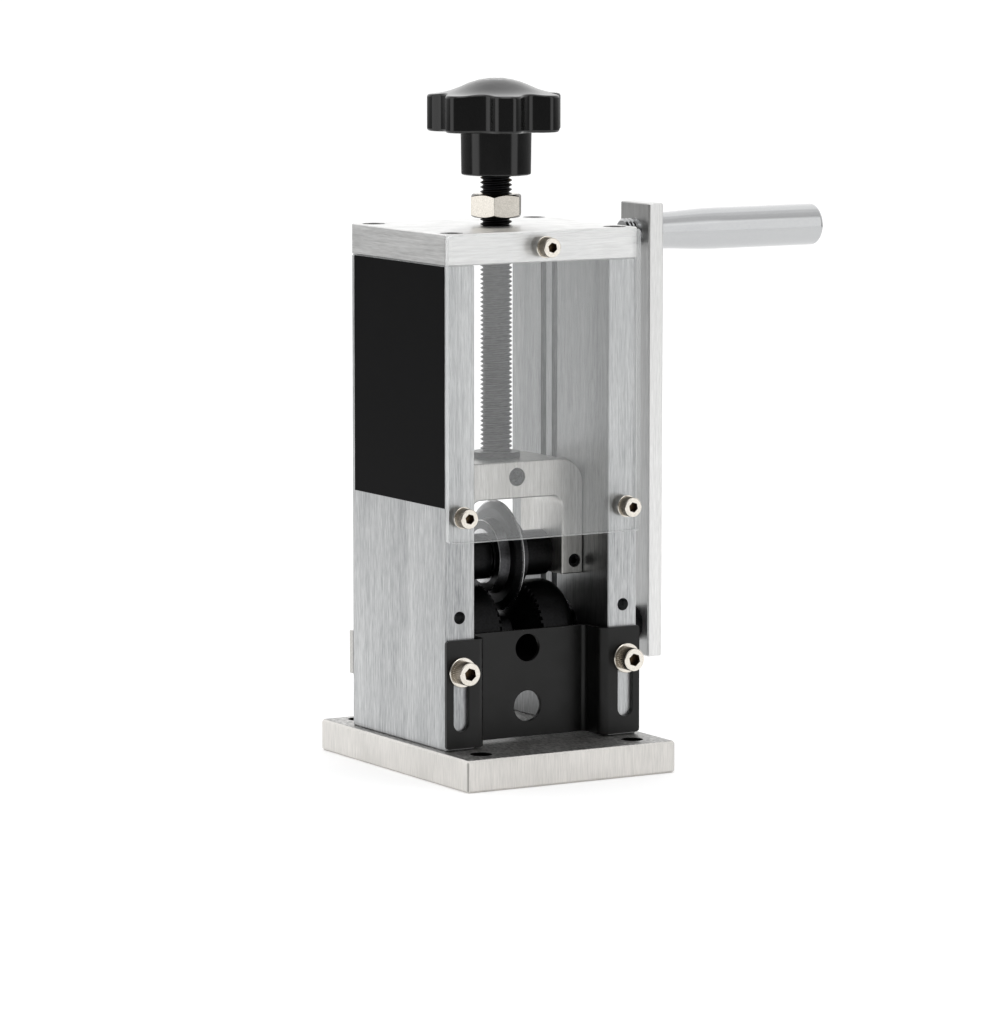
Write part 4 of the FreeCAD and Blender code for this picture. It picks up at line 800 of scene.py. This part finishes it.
@dataclass
class WireGuide(Assembly):
    """Bent sheet that leads the wire in, with its screws and washers, in millimetres."""

    sheet: float = 2.0
    flange_end: float = 48.6
    flange_y: float = -40.05
    web_x: float = 30.0
    middle_y: float = -26.05
    bend: float = 3.0
    bottom: float = 15.0
    top: float = 62.0
    corner: float = 1.5
    wire_holes: tuple[tuple[float, float], ...] = ((6.0, 54.0), (6.75, 28.4))
    slot_x: float = 41.3
    slot_r: float = 3.75
    slot_bottom: float = 22.4
    slot_top: float = 52.9
    screw_z: float = 48.2
    washer_r: float = 6.5
    washer_thick: float = 1.6
    washer_back: float = -41.1
    washer_gap: float = 0.25
    washer_edge: float = 0.25
    screw: CapScrew = CapScrew(3.0, 5.0, 6.0, 5.0, 3.2, 16.0, knurls=40)

    def build(self) -> None:
        """Builds the sheet, then its washers and screws."""
        self.add_sheet()
        self.add_screws()

    def route(self) -> Profile:
        """The bent sheet's middle line from above, left to right."""
        bend = self.bend
        left = [(-self.flange_end, self.flange_y)]
        left += arc((-self.web_x - bend, self.flange_y + bend), bend, -90, 0, 6)
        left += arc((-self.web_x + bend, self.middle_y - bend), bend, 180, 90, 6)
        return left + [(-x, y) for x, y in reversed(left)]

    def add_sheet(self) -> None:
        """Folds the sheet from one line, thickens it and cuts its holes and slots."""
        sheet = drawn("guide_sheet", [spot(x, y, self.bottom) for x, y in self.route()])
        sheet.open(Kind.EDGE)
        rise = spot(0, 0, self.top - self.bottom)
        bpy.ops.mesh.extrude_edges_move(TRANSFORM_OT_translate={"value": rise})
        bpy.ops.object.mode_set(mode="OBJECT")
        sheet.apply("SOLIDIFY", thickness=mm(self.sheet), offset=0.0, use_even_offset=True)
        sheet.open()
        end = mm(self.flange_end - NEAR)
        sheet.pick(Kind.EDGE, lambda place, way: abs(way.y) > ALONG and abs(place.x) > end)
        bpy.ops.mesh.bevel(offset=mm(self.corner), segments=5)
        sheet.close()
        for radius, height in self.wire_holes:
            drill = prism("drill", 2 * radius, -8, 8, sides=72)
            sheet.combine(drill.place(Facing.FRONT, spot(0, self.middle_y, height)))
        for side in (-1, 1):
            sheet.combine(self.slot_cutter(side))
        sheet.soften(0.3, angle=40)
        sheet.coat(GUIDE_PAINT, smooth=28)
        sheet.hand_over("guide", "black_sheet", "wire_guide")

    def slot_cutter(self, side: int) -> Workpiece:
        """A cutter with round ends for one flange's slot."""
        cutter = prism("slot_cutter", 2 * self.slot_r, -4, 4, sides=48)
        start = self.slot_bottom + self.slot_r
        cutter.place(Facing.FRONT, spot(side * self.slot_x, self.flange_y, start))
        cutter.open()
        cutter.pick(Kind.VERTEX, lambda place, _: place.z > mm(start + NEAR))
        lift = spot(0, 0, self.slot_top - self.slot_bottom - 2 * self.slot_r)
        bpy.ops.transform.translate(value=lift)
        cutter.close()
        return cutter

    def add_screws(self) -> None:
        """Two cap screws on flat washers."""
        inner = self.screw.shank_r + self.washer_gap
        ring = washer("guide_washer", inner, self.washer_r, self.washer_thick, self.washer_edge)
        screw = self.screw.make("guide_screw")
        models = [(ring, 0.0, "guide_washers"), (screw, self.washer_thick, "guide_screws")]
        sides = {"left": -self.slot_x, "right": self.slot_x}
        set_fasteners(models, {word: spot(x, self.washer_back, self.screw_z) for word, x in sides.items()})


@dataclass
class DriveLine(Assembly):
    """Shaft, feed roller, spacers and shaft bearings."""

    finishes = {
        BLACK_OXIDE: ("drive_shaft", "feed_roller", "roller_set_screws", "shaft_spacers"),
        BEARING_STEEL: ("shaft_bearing_outer_rings", "shaft_bearing_inner_rings", "shaft_bearing_balls"),
    }


@dataclass
class CrankHandle(Assembly):
    """Arm, its set screw, and the grip that turns on a spindle, in millimetres."""

    grip_start: float = 78.8
    grip_end: float = 165.29
    grip_height: float = 230.7
    neck_r: float = 8.0
    grip_r: float = 9.2
    swell: float = 34.2
    bore_r: float = 5.08
    counterbore_r: float = 6.8
    counterbore_start: float = 158.0
    mouth: float = 0.4
    end_round: float = 1.5
    swell_steps: int = 14
    finishes = {
        ARM_ALUMINIUM: ("crank_arm",),
        BLACK_OXIDE: ("arm_set_screw",),
        GRIP_STEEL: ("handle_spindle",),
    }

    def build(self) -> None:
        """Dresses the crank's nodes and turns the grip."""
        super().build()
        self.add_grip()

    def add_grip(self) -> None:
        """The grip: a neck that swells to a straight barrel with a rounded end."""
        profile = [(self.bore_r, self.grip_start), (self.neck_r - self.mouth, self.grip_start)]
        for step in range(self.swell_steps + 1):
            share = step / self.swell_steps
            radius = self.neck_r + (self.grip_r - self.neck_r) * (1 - math.cos(math.pi * share)) / 2
            profile.append((radius, self.grip_start + self.mouth + (self.swell - self.mouth) * share))
        corner = (self.grip_r - self.end_round, self.grip_end - self.end_round)
        profile += arc(corner, self.end_round, 0, 90, 5)
        profile += [
            (self.counterbore_r, self.grip_end),
            (self.counterbore_r, self.counterbore_start),
            (self.bore_r, self.counterbore_start),
        ]
        grip = turned("crank_grip", profile, sides=128, ring=True)
        grip.place(Facing.RIGHT, spot(0, 0, self.grip_height))
        grip.coat(GRIP_STEEL)
        grip.hand_over("handle", "polished_steel", "handle_grip")


@dataclass
class BladeCarriage(Assembly):
    """Yoke, axle, cutting blade and its bearings, in millimetres."""

    blade_height: float = 91.5
    blade_r: float = 24.3
    edge_half: float = 0.1
    honed: float = 0.7
    bevel_r: float = 20.8
    half_thick: float = 2.4
    boss_foot_r: float = 16.5
    boss_end_r: float = 15.9
    boss_half: float = 7.3
    bearing_r: float = 12.0
    shoulder_r: float = 10.6
    shoulder_half: float = 1.2
    boss_edge: float = 0.3
    boss_fillet: tuple[tuple[float, float], ...] = ((0.7, 0.0), (0.15, 0.25), (-0.05, 0.8))
    finishes = {
        YOKE_ALUMINIUM: ("yoke",),
        BLACK_OXIDE: ("yoke_set_screw", "leg_set_screws", "blade_axle", "blade_spacers"),
        BEARING_STEEL: ("blade_bearing_inner_rings", "blade_bearing_outer_rings", "blade_bearing_balls"),
    }

    def build(self) -> None:
        """Dresses the carriage's nodes and turns the blade."""
        super().build()
        self.add_blade()

    def add_blade(self) -> None:
        """The blade: a ground double bevel round a boss that holds two bearings."""
        slope = (self.half_thick - self.edge_half) / (self.blade_r - self.bevel_r)
        right = [
            (self.blade_r, self.edge_half),
            (self.blade_r - self.honed, self.edge_half + self.honed * slope),
            (self.bevel_r, self.half_thick),
            *((self.boss_foot_r + out, self.half_thick + up) for out, up in self.boss_fillet),
            (self.boss_end_r, self.boss_half - self.boss_edge),
            (self.boss_end_r - self.boss_edge, self.boss_half),
            (self.bearing_r, self.boss_half),
            (self.bearing_r, self.shoulder_half),
            (self.shoulder_r, self.shoulder_half),
        ]
        left = [(radius, -along) for radius, along in reversed(right)]
        blade = turned("cutting_blade", right + left, sides=160, ring=True)
        blade.coat(BLADE_STEEL, smooth=25)
        honed_r = mm(self.blade_r - self.honed)
        rim_r = mm(self.boss_end_r - self.boss_edge - 2 * NEAR)
        rim_half = mm(self.boss_half - self.boss_edge - 2 * NEAR)

        # the honed cutting edge is bright steel; the ring at each boss end is a painted highlight
        def honed_edge_and_highlit_rim(place: Vector, _: Vector) -> bool:
            on_rim = rim_r < place.xy.length < mm(self.boss_foot_r) and abs(place.z) > rim_half
            return place.xy.length > honed_r or on_rim

        blade.paint(HONED_EDGE_AND_RIM_HIGHLIGHT, honed_edge_and_highlit_rim)
        blade.place(Facing.RIGHT, spot(0, 0, self.blade_height))
        blade.hand_over("blade", "blade_steel", "stripping_blade")


@dataclass
class PressureScrew(Assembly):
    """Threaded rod, lock nut and star knob, in millimetres."""

    crest_r: float = 6.9
    root_r: float = 5.75
    pitch: float = 2.0
    crest_flat: float = 0.3
    thread_start: float = 137.0
    thread_end: float = 276.0
    flange_r: float = 10.5
    flange_bottom: float = 134.55
    flange_top: float = 137.35
    flange_edge: float = 0.3
    spigot_r: float = 5.0
    spigot_edge: float = 0.5
    core_sink: float = 0.4
    nut_across: float = 21.0
    nut_bottom: float = 239.6
    nut_height: float = 10.2
    nut_corner: float = 55.5
    nut_chamfer: float = 1.2
    nut_bore_r: float = 7.0
    nut_bore_edge: float = 0.8
    nut_round: float = 0.108
    barrel_room: tuple[float, float] = (0.2, 0.1)   # outward and upward, past the hexagon's corners
    past: float = 0.5   # the nut's cutters reach past its ends, so that no two faces lie in one plane
    knob_r: float = 30.0
    lobes: int = 7
    lobe_r: float = 7.0
    flute_r: float = 24.0
    first_lobe: float = -109.5
    hub_bottom: float = 258.0
    head_bottom: float = 277.0
    head_top: float = 293.0
    dome_rise: float = 7.0
    hub_bottom_r: float = 15.15
    hub_top_r: float = 15.4
    hub_foot: tuple[tuple[float, float], ...] = ((-0.8, 0.0), (-0.2, 0.25), (0.0, 0.8))
    neck: tuple[float, float] = (0.5, 0.4)   # flare of the hub where it meets the head, outward and down
    insert_r: float = 11.1
    insert_sink: float = 0.6
    edge: float = 1.2
    pole_r: float = 1.2
    dome_shares: tuple[float, ...] = (0.0, 0.08, 0.18, 0.3, 0.44, 0.6, 0.76, 0.9)
    per_lobe: int = 24
    finishes = {BRASS: ("knob_insert",)}

    def build(self) -> None:
        """Cuts the thread, then makes the nut and moulds the knob."""
        super().build()
        self.add_rod()
        self.add_nut()
        self.add_knob()

    def add_rod(self) -> None:
        """A right-hand thread swept by the screw modifier, on a flange and spigot."""
        flank = (self.crest_r - self.root_r) * math.tan(math.radians(30))
        crest_end = flank + self.crest_flat
        corners = [(self.root_r, 0.0), (self.crest_r, flank), (self.crest_r, crest_end)]
        corners += [(self.root_r, crest_end + flank), (self.root_r, self.pitch)]
        low = self.thread_start - self.pitch
        rod = drawn("threaded_rod", [spot(radius, 0, low + rise) for radius, rise in corners])
        turns = math.ceil((self.thread_end - self.thread_start) / self.pitch) + 2
        sweep = {"angle": math.tau, "screw_offset": mm(self.pitch), "iterations": turns}
        rod.apply("SCREW", axis="Z", steps=40, render_steps=40, use_merge_vertices=True, **sweep)
        rod.open()
        bpy.ops.mesh.remove_doubles(threshold=SAME_PLACE)
        for height, way in ((self.thread_start, -1), (self.thread_end, 1)):
            bpy.ops.mesh.select_all(action="SELECT")
            cut = spot(0, 0, height)
            bpy.ops.mesh.bisect(plane_co=cut, plane_no=(0, 0, way), use_fill=True, clear_outer=True)
        rod.close()
        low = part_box("pressure_screw")[0][2] * 1000
        profile = [
            (self.spigot_r - self.spigot_edge, low),
            (self.spigot_r, low + self.spigot_edge),
            (self.spigot_r, self.flange_bottom),
            (self.flange_r - self.flange_edge, self.flange_bottom),
            (self.flange_r, self.flange_bottom + self.flange_edge),
            (self.flange_r, self.flange_top - self.flange_edge),
            (self.flange_r - self.flange_edge, self.flange_top),
            (self.root_r - self.core_sink, self.flange_top),
        ]
        rod.join(turned("flange", profile))
        rod.coat(ROD_OXIDE, smooth=25)
        rod.hand_over("screw", "black_oxide_steel", "pressure_screw")

    def add_nut(self) -> None:
        """A hexagon whose corners are turned off at both ends."""
        top = self.nut_bottom + self.nut_height
        nut = prism("hex_lock_nut", self.nut_across, self.nut_bottom, top, turn=self.nut_corner - 30)
        corner_r = self.nut_across / 2 / math.cos(math.pi / 6)
        face_r = self.nut_across / 2 - self.nut_chamfer / 2
        out, up = self.barrel_room
        drop = (corner_r - face_r) * math.tan(math.radians(30)) + up
        end_r = face_r - self.past * (corner_r + out - face_r) / drop
        barrel = [
            (end_r, self.nut_bottom - self.past),
            (corner_r + out, self.nut_bottom + drop),
            (corner_r + out, top - drop),
            (end_r, top + self.past),
        ]
        nut.combine(turned("barrel", barrel), "INTERSECT")
        mouth_r = self.nut_bore_r + self.nut_bore_edge + self.past
        bore = [
            (mouth_r, self.nut_bottom - self.past),
            (self.nut_bore_r, self.nut_bottom + self.nut_bore_edge),
            (self.nut_bore_r, top - self.nut_bore_edge),
            (mouth_r, top + self.past),
        ]
        nut.combine(turned("bore", bore))
        nut.soften(self.nut_round, angle=25)
        nut.coat(NICKEL, smooth=25)
        rim = mm(face_r - 0.6)
        # the chamfers carry painted shade for the dark surroundings they reflect
        nut.paint(NUT_CHAMFER_SHADE, lambda place, way: place.xy.length > rim and 0.3 < abs(way.z) < 0.97)
        nut.hand_over("nut", "bright_screws", "lock_nut")

    def outline_radius(self, away: float) -> float:
        """The knob's radius at an angle from the nearest lobe, in radians."""
        half_step = math.pi / self.lobes
        lobe_centre = self.knob_r - self.lobe_r
        lean = math.cos(half_step)
        spread = lobe_centre**2 + self.flute_r**2 - 2 * lobe_centre * self.flute_r * lean
        flute = (spread - self.lobe_r**2) / (2 * (self.lobe_r - self.flute_r + lobe_centre * lean))
        flute_centre = self.flute_r + flute
        run = Vector((flute_centre * math.cos(half_step) - lobe_centre, flute_centre * math.sin(half_step)))
        touch = Vector((lobe_centre, 0)) + run * (self.lobe_r / run.length)
        if away <= math.atan2(touch.y, touch.x):
            side = lobe_centre * math.sin(away)
            return lobe_centre * math.cos(away) + math.sqrt(self.lobe_r**2 - side**2)
        back = half_step - away
        side = flute_centre * math.sin(back)
        return flute_centre * math.cos(back) - math.sqrt(flute**2 - side**2)

    def dome_height(self, radius: float) -> float:
        """Height of the dome's surface, which falls from the middle to the rim in two arcs."""
        middle = self.knob_r / 2
        arc_r = middle / math.sin(2 * math.atan2(self.dome_rise / 2, middle))
        near = min(radius, self.knob_r - radius)
        drop = arc_r - math.sqrt(arc_r**2 - max(near, 0.0) ** 2)
        return self.head_top + (self.dome_rise - drop if radius <= middle else drop)

    def add_knob(self) -> None:
        """Hub, lobed head and dome, raised ring by ring from the hub's recess."""
        count = self.lobes * self.per_lobe
        floor = self.hub_bottom + self.insert_sink
        bpy.ops.mesh.primitive_circle_add(
            vertices=count, radius=mm(self.insert_r), location=spot(0, 0, floor)
        )
        knob = Workpiece("moulded_star_knob")
        knob.open(Kind.EDGE)
        bpy.ops.mesh.edge_face_add()
        radii = [self.insert_r] * (self.per_lobe // 2 + 1)
        heights = [floor] * len(radii)
        for ring in self.knob_rings():
            radii, heights = self.raise_ring(knob, radii, heights, ring)
        bpy.ops.mesh.edge_face_add()
        knob.close()
        knob.take_up()
        knob.thing.rotation_euler = (0, 0, math.radians(self.first_lobe))
        bpy.ops.object.transform_apply(location=True, rotation=True, scale=True)
        knob.coat(KNOB_PLASTIC, smooth=40)
        knob.hand_over("screw", "black_knob_plastic", "star_knob")

    def knob_rings(self) -> list[Profile]:
        """Radius and height of every ring, for each angle from a lobe to a flute."""
        step = math.tau / self.lobes / self.per_lobe
        outline = [self.outline_radius(step * index) for index in range(self.per_lobe // 2 + 1)]
        flare, fall = self.neck
        hub = [(self.insert_r, self.hub_bottom)]
        hub += [(self.hub_bottom_r + out, self.hub_bottom + up) for out, up in self.hub_foot]
        hub += [(self.hub_top_r, self.head_bottom - fall), (self.hub_top_r + flare, self.head_bottom)]
        rings = [[corner] * len(outline) for corner in hub]
        for angle in (0, 30, 60, 90):
            inset = self.edge * (1 - math.sin(math.radians(angle)))
            rise = self.edge * (1 - math.cos(math.radians(angle)))
            rings.append([(radius - inset, self.head_bottom + rise) for radius in outline])
        for angle in (0, 25, 50, 75):
            inset = self.edge * (1 - math.cos(math.radians(angle)))
            drop = self.edge * (1 - math.sin(math.radians(angle)))
            rings.append([(r - inset, self.dome_height(r - self.edge) - drop) for r in outline])
        for share in self.dome_shares:
            ring = []
            for radius in outline:
                inner = (radius - self.edge) * (1 - share) + self.pole_r * share
                ring.append((inner, self.dome_height(inner)))
            rings.append(ring)
        return rings

    def raise_ring(
        self, knob: Workpiece, radii: list[float], heights: list[float], ring: Profile
    ) -> tuple[list[float], list[float]]:
        """Extrudes the last ring and moves each group of its vertices to its radius and height.

        Args:
            knob: The knob under work, in edit mode, with its last ring selected.
            radii: The last ring's radius at each angle from a lobe.
            heights: The last ring's height at each angle from a lobe.
            ring: The next ring's radius and height at each angle from a lobe.

        Returns:
            The next ring's radii and heights.
        """
        bpy.ops.mesh.extrude_edges_move(TRANSFORM_OT_translate={"value": (0, 0, 0)})
        next_radii = [radius for radius, _ in ring]
        next_heights = [height for _, height in ring]
        factors = [new / old for new, old in zip(next_radii, radii)]
        lifts = [new - old for new, old in zip(next_heights, heights)]
        if max(factors) - min(factors) < 1e-9 and max(lifts) - min(lifts) < 1e-9:
            bpy.ops.transform.resize(value=(factors[0], factors[0], 1), center_override=(0, 0, 0))
            bpy.ops.transform.translate(value=spot(0, 0, lifts[0]))
            return next_radii, next_heights
        shape = bmesh.from_edit_mesh(knob.thing.data)
        shape.verts.ensure_lookup_table()
        last = [vertex.index for vertex in shape.verts if vertex.select]
        step = math.tau / self.lobes / self.per_lobe
        groups: list[list[int]] = [[] for _ in ring]
        for index in last:
            place = shape.verts[index].co
            turn = round(math.atan2(place.y, place.x) / step) % self.per_lobe
            groups[min(turn, self.per_lobe - turn)].append(index)
        bpy.ops.mesh.select_mode(type="VERT")
        for group, factor, lift in zip(groups, factors, lifts):
            self.select_only(knob, group)
            bpy.ops.transform.resize(value=(factor, factor, 1), center_override=(0, 0, 0))
            bpy.ops.transform.translate(value=spot(0, 0, lift))
        self.select_only(knob, last)
        bpy.ops.mesh.select_mode(type="EDGE")
        return next_radii, next_heights

    def select_only(self, knob: Workpiece, indices: list[int]) -> None:
        """Selects vertices by index, and nothing else."""
        bpy.ops.mesh.select_all(action="DESELECT")
        shape = bmesh.from_edit_mesh(knob.thing.data)
        shape.verts.ensure_lookup_table()
        for index in indices:
            shape.verts[index].select_set(True)
        shape.select_flush(True)
        bmesh.update_edit_mesh(knob.thing.data)


# ------------------------------------------------------------------------ studio
@dataclass(frozen=True)
class Softbox:
    """A bright panel of the room, by its level direction, sides' cosines, upright range and power."""

    direction: tuple[float, float]
    sides: tuple[float, float]
    bottom: tuple[float, float]
    top: tuple[float, float]
    power: float


@dataclass
class Studio:
    """Pale floor, soft lamps, white surroundings and the camera; places in metres."""

    floor_size: float = 60.0
    floor_colour: str = "#f2f2f2"
    floor_glow: float = 0.24
    table_reach: tuple[float, float] = (1.5, 2.0)
    camera_place: tuple[float, float, float] = (-1.1694, -1.9890, 0.3985)
    camera_aim: tuple[float, float, float] = (0.50307, 0.85533, -0.12389)
    lens: float = 186.86
    sensor: float = 36.0
    far: float = 200.0
    lamp_place: tuple[float, float, float] = (-0.2, -0.3, 1.9)
    lamp_aim: tuple[float, float, float] = (0.0, 0.0, 0.12)
    lamp_size: float = 1.3
    lamp_power: float = 7.0
    dark_side: float = 0.2
    ceiling: float = 0.8
    overhead: tuple[float, float] = (0.4, 0.75)
    horizon: tuple[float, float] = (-0.08, 0.04)
    back: tuple[float, float] = (0.507, 0.862)
    back_sides: tuple[float, float] = (-0.35, 0.3)
    softboxes: tuple[Softbox, ...] = (
        Softbox((-0.978, 0.208), (0.955, 0.985), (-1.2, -1.1), (0.75, 0.5), 1.1),
        Softbox((0.537, -0.843), (0.970, 0.990), (-1.2, -1.1), (0.75, 0.5), 1.1),
        Softbox((0.507, 0.862), (0.55, 0.8), (0.1, 0.25), (0.95, 0.85), 0.3),
    )

    def build(self) -> None:
        """Makes everything around the object."""
        self.add_floor()
        self.add_world()
        self.add_lamp()
        self.add_camera()

    def ray(self, tree: Tree, *kinds: str) -> Socket:
        """1 for rays of the named kinds, otherwise 0."""
        path = add_node(tree, "LightPath")
        found = path[kinds[0]]
        for kind in kinds[1:]:
            found = add_node(tree, "Math", {0: found, 1: path[kind]}, operation="MAXIMUM")[0]
        return found

    def window(self, tree: Tree, value: Socket, low: float, high: float) -> Socket:
        """A soft step from 0 to 1 between two values."""
        inputs = {"Value": value, "From Min": low, "From Max": high}
        return add_node(tree, "MapRange", inputs, interpolation_type="SMOOTHSTEP")["Result"]

    def add_floor(self) -> None:
        """A white table on a white floor; what lies far out shows white but throws no light."""
        bpy.ops.mesh.primitive_plane_add(size=self.floor_size, location=(0, 0, 0))
        floor = bpy.context.object
        floor.name = "floor"
        material = bpy.data.materials.new("pale_floor")
        material.use_nodes = True
        tree = material.node_tree
        tree.nodes.clear()
        seen = self.ray(tree, "Is Camera Ray", "Is Glossy Ray", "Is Transmission Ray")
        base = add_node(tree, "BsdfDiffuse", {"Color": linear(self.floor_colour)})["BSDF"]
        lift = add_node(tree, "Math", {0: seen, 1: self.floor_glow}, operation="MULTIPLY")[0]
        glow = add_node(tree, "Emission", {"Color": linear("#ffffff"), "Strength": lift})[0]
        both = add_node(tree, "AddShader", {0: base, 1: glow})[0]
        place = add_node(tree, "TexCoord")["Object"]
        out = add_node(tree, "VectorMath", {0: place}, operation="LENGTH")["Value"]
        near = {"Value": out, "From Min": self.table_reach[0], "From Max": self.table_reach[1]}
        near.update({"To Min": 1.0, "To Max": 0.0})
        near = add_node(tree, "MapRange", near, interpolation_type="SMOOTHSTEP")["Result"]
        solid = {0: near, 1: self.ray(tree, "Is Camera Ray", "Is Transmission Ray")}
        solid = add_node(tree, "Math", solid, operation="MAXIMUM")[0]
        clear = add_node(tree, "BsdfTransparent")[0]
        surface = add_node(tree, "MixShader", {0: solid, 1: clear, 2: both})[0]
        add_node(tree, "OutputMaterial", {"Surface": surface})
        floor.data.materials.append(material)

    def add_world(self) -> None:
        """A room that is white behind, pale above and dim in front and low down, with its softboxes."""
        world = bpy.data.worlds.new("white_room")
        bpy.context.scene.world = world
        world.use_nodes = True
        tree = world.node_tree
        tree.nodes.clear()
        way = add_node(tree, "TexCoord")["Generated"]
        level = {0: way, 1: Vector((1, 1, 0))}
        level = add_node(tree, "VectorMath", level, operation="MULTIPLY")[0]
        level = add_node(tree, "VectorMath", {0: level}, operation="NORMALIZE")[0]
        up = add_node(tree, "SeparateXYZ", {0: way})["Z"]
        behind = self.towards(tree, level, self.back, *self.back_sides)
        raised = self.window(tree, up, *self.horizon)
        behind = add_node(tree, "Math", {0: behind, 1: raised}, operation="MULTIPLY")[0]
        above = self.window(tree, up, *self.overhead)
        above = add_node(tree, "Math", {0: above, 1: self.ceiling}, operation="MULTIPLY")[0]
        white = add_node(tree, "Math", {0: behind, 1: above}, operation="MAXIMUM")[0]
        room = {"Value": white, "To Min": self.dark_side, "To Max": 1.0}
        total = add_node(tree, "MapRange", room)["Result"]
        for box in self.softboxes:
            panel = self.towards(tree, level, box.direction, *box.sides)
            for limits in (box.bottom, box.top):
                inputs = {0: panel, 1: self.window(tree, up, *limits)}
                panel = add_node(tree, "Math", inputs, operation="MULTIPLY")[0]
            inputs = {0: panel, 1: box.power, 2: total}
            total = add_node(tree, "Math", inputs, operation="MULTIPLY_ADD")[0]
        seen = self.ray(tree, "Is Camera Ray", "Is Transmission Ray")
        strength = add_node(tree, "Mix", {0: seen, 2: total, 3: 1.0})[0]
        back = add_node(tree, "Background", {"Color": linear("#ffffff"), "Strength": strength})[0]
        add_node(tree, "OutputWorld", {"Surface": back})

    def towards(
        self, tree: Tree, level: Socket, direction: tuple[float, float], low: float, high: float
    ) -> Socket:
        """1 for level directions near a given one, with a soft edge between two cosines."""
        inputs = {0: level, 1: Vector((*direction, 0))}
        lean = add_node(tree, "VectorMath", inputs, operation="DOT_PRODUCT")["Value"]
        return self.window(tree, lean, low, high)

    def add_lamp(self) -> None:
        """A square softbox overhead that faces the object's middle."""
        lamp = bpy.data.lights.new("top_softbox", "AREA")
        lamp.shape = "SQUARE"
        lamp.size = self.lamp_size
        lamp.energy = self.lamp_power
        self.stand(lamp, self.lamp_place, Vector(self.lamp_aim) - Vector(self.lamp_place))

    def add_camera(self) -> None:
        """The camera, in front and to the left."""
        camera = bpy.data.cameras.new("camera")
        camera.lens = self.lens
        camera.sensor_width = self.sensor
        camera.clip_end = self.far
        bpy.context.scene.camera = self.stand(camera, self.camera_place, Vector(self.camera_aim))

    def stand(self, data: bpy.types.ID, place: tuple[float, float, float], aim: Vector) -> bpy.types.Object:
        """Puts a lamp or camera at its place, turned along its aim."""
        holder = bpy.data.objects.new(data.name, data)
        bpy.context.scene.collection.objects.link(holder)
        holder.location = place
        holder.rotation_euler = aim.to_track_quat("-Z", "Y").to_euler()
        return holder


def main() -> None:
    """Builds every sub-assembly and the studio around them."""
    logging.basicConfig(level=logging.INFO, format="%(name)s %(message)s")
    bpy.ops.object.select_all(action="DESELECT")
    bpy.context.scene.view_settings.view_transform = "Standard"
    parts = (PlateFrame(), WireGuide(), DriveLine(), CrankHandle(), BladeCarriage(), PressureScrew())
    for assembly in parts:
        assembly.build()
        LOG.info("%s ready", type(assembly).__name__)
    Studio().build()


if __name__ == "__main__":
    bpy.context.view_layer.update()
    main()
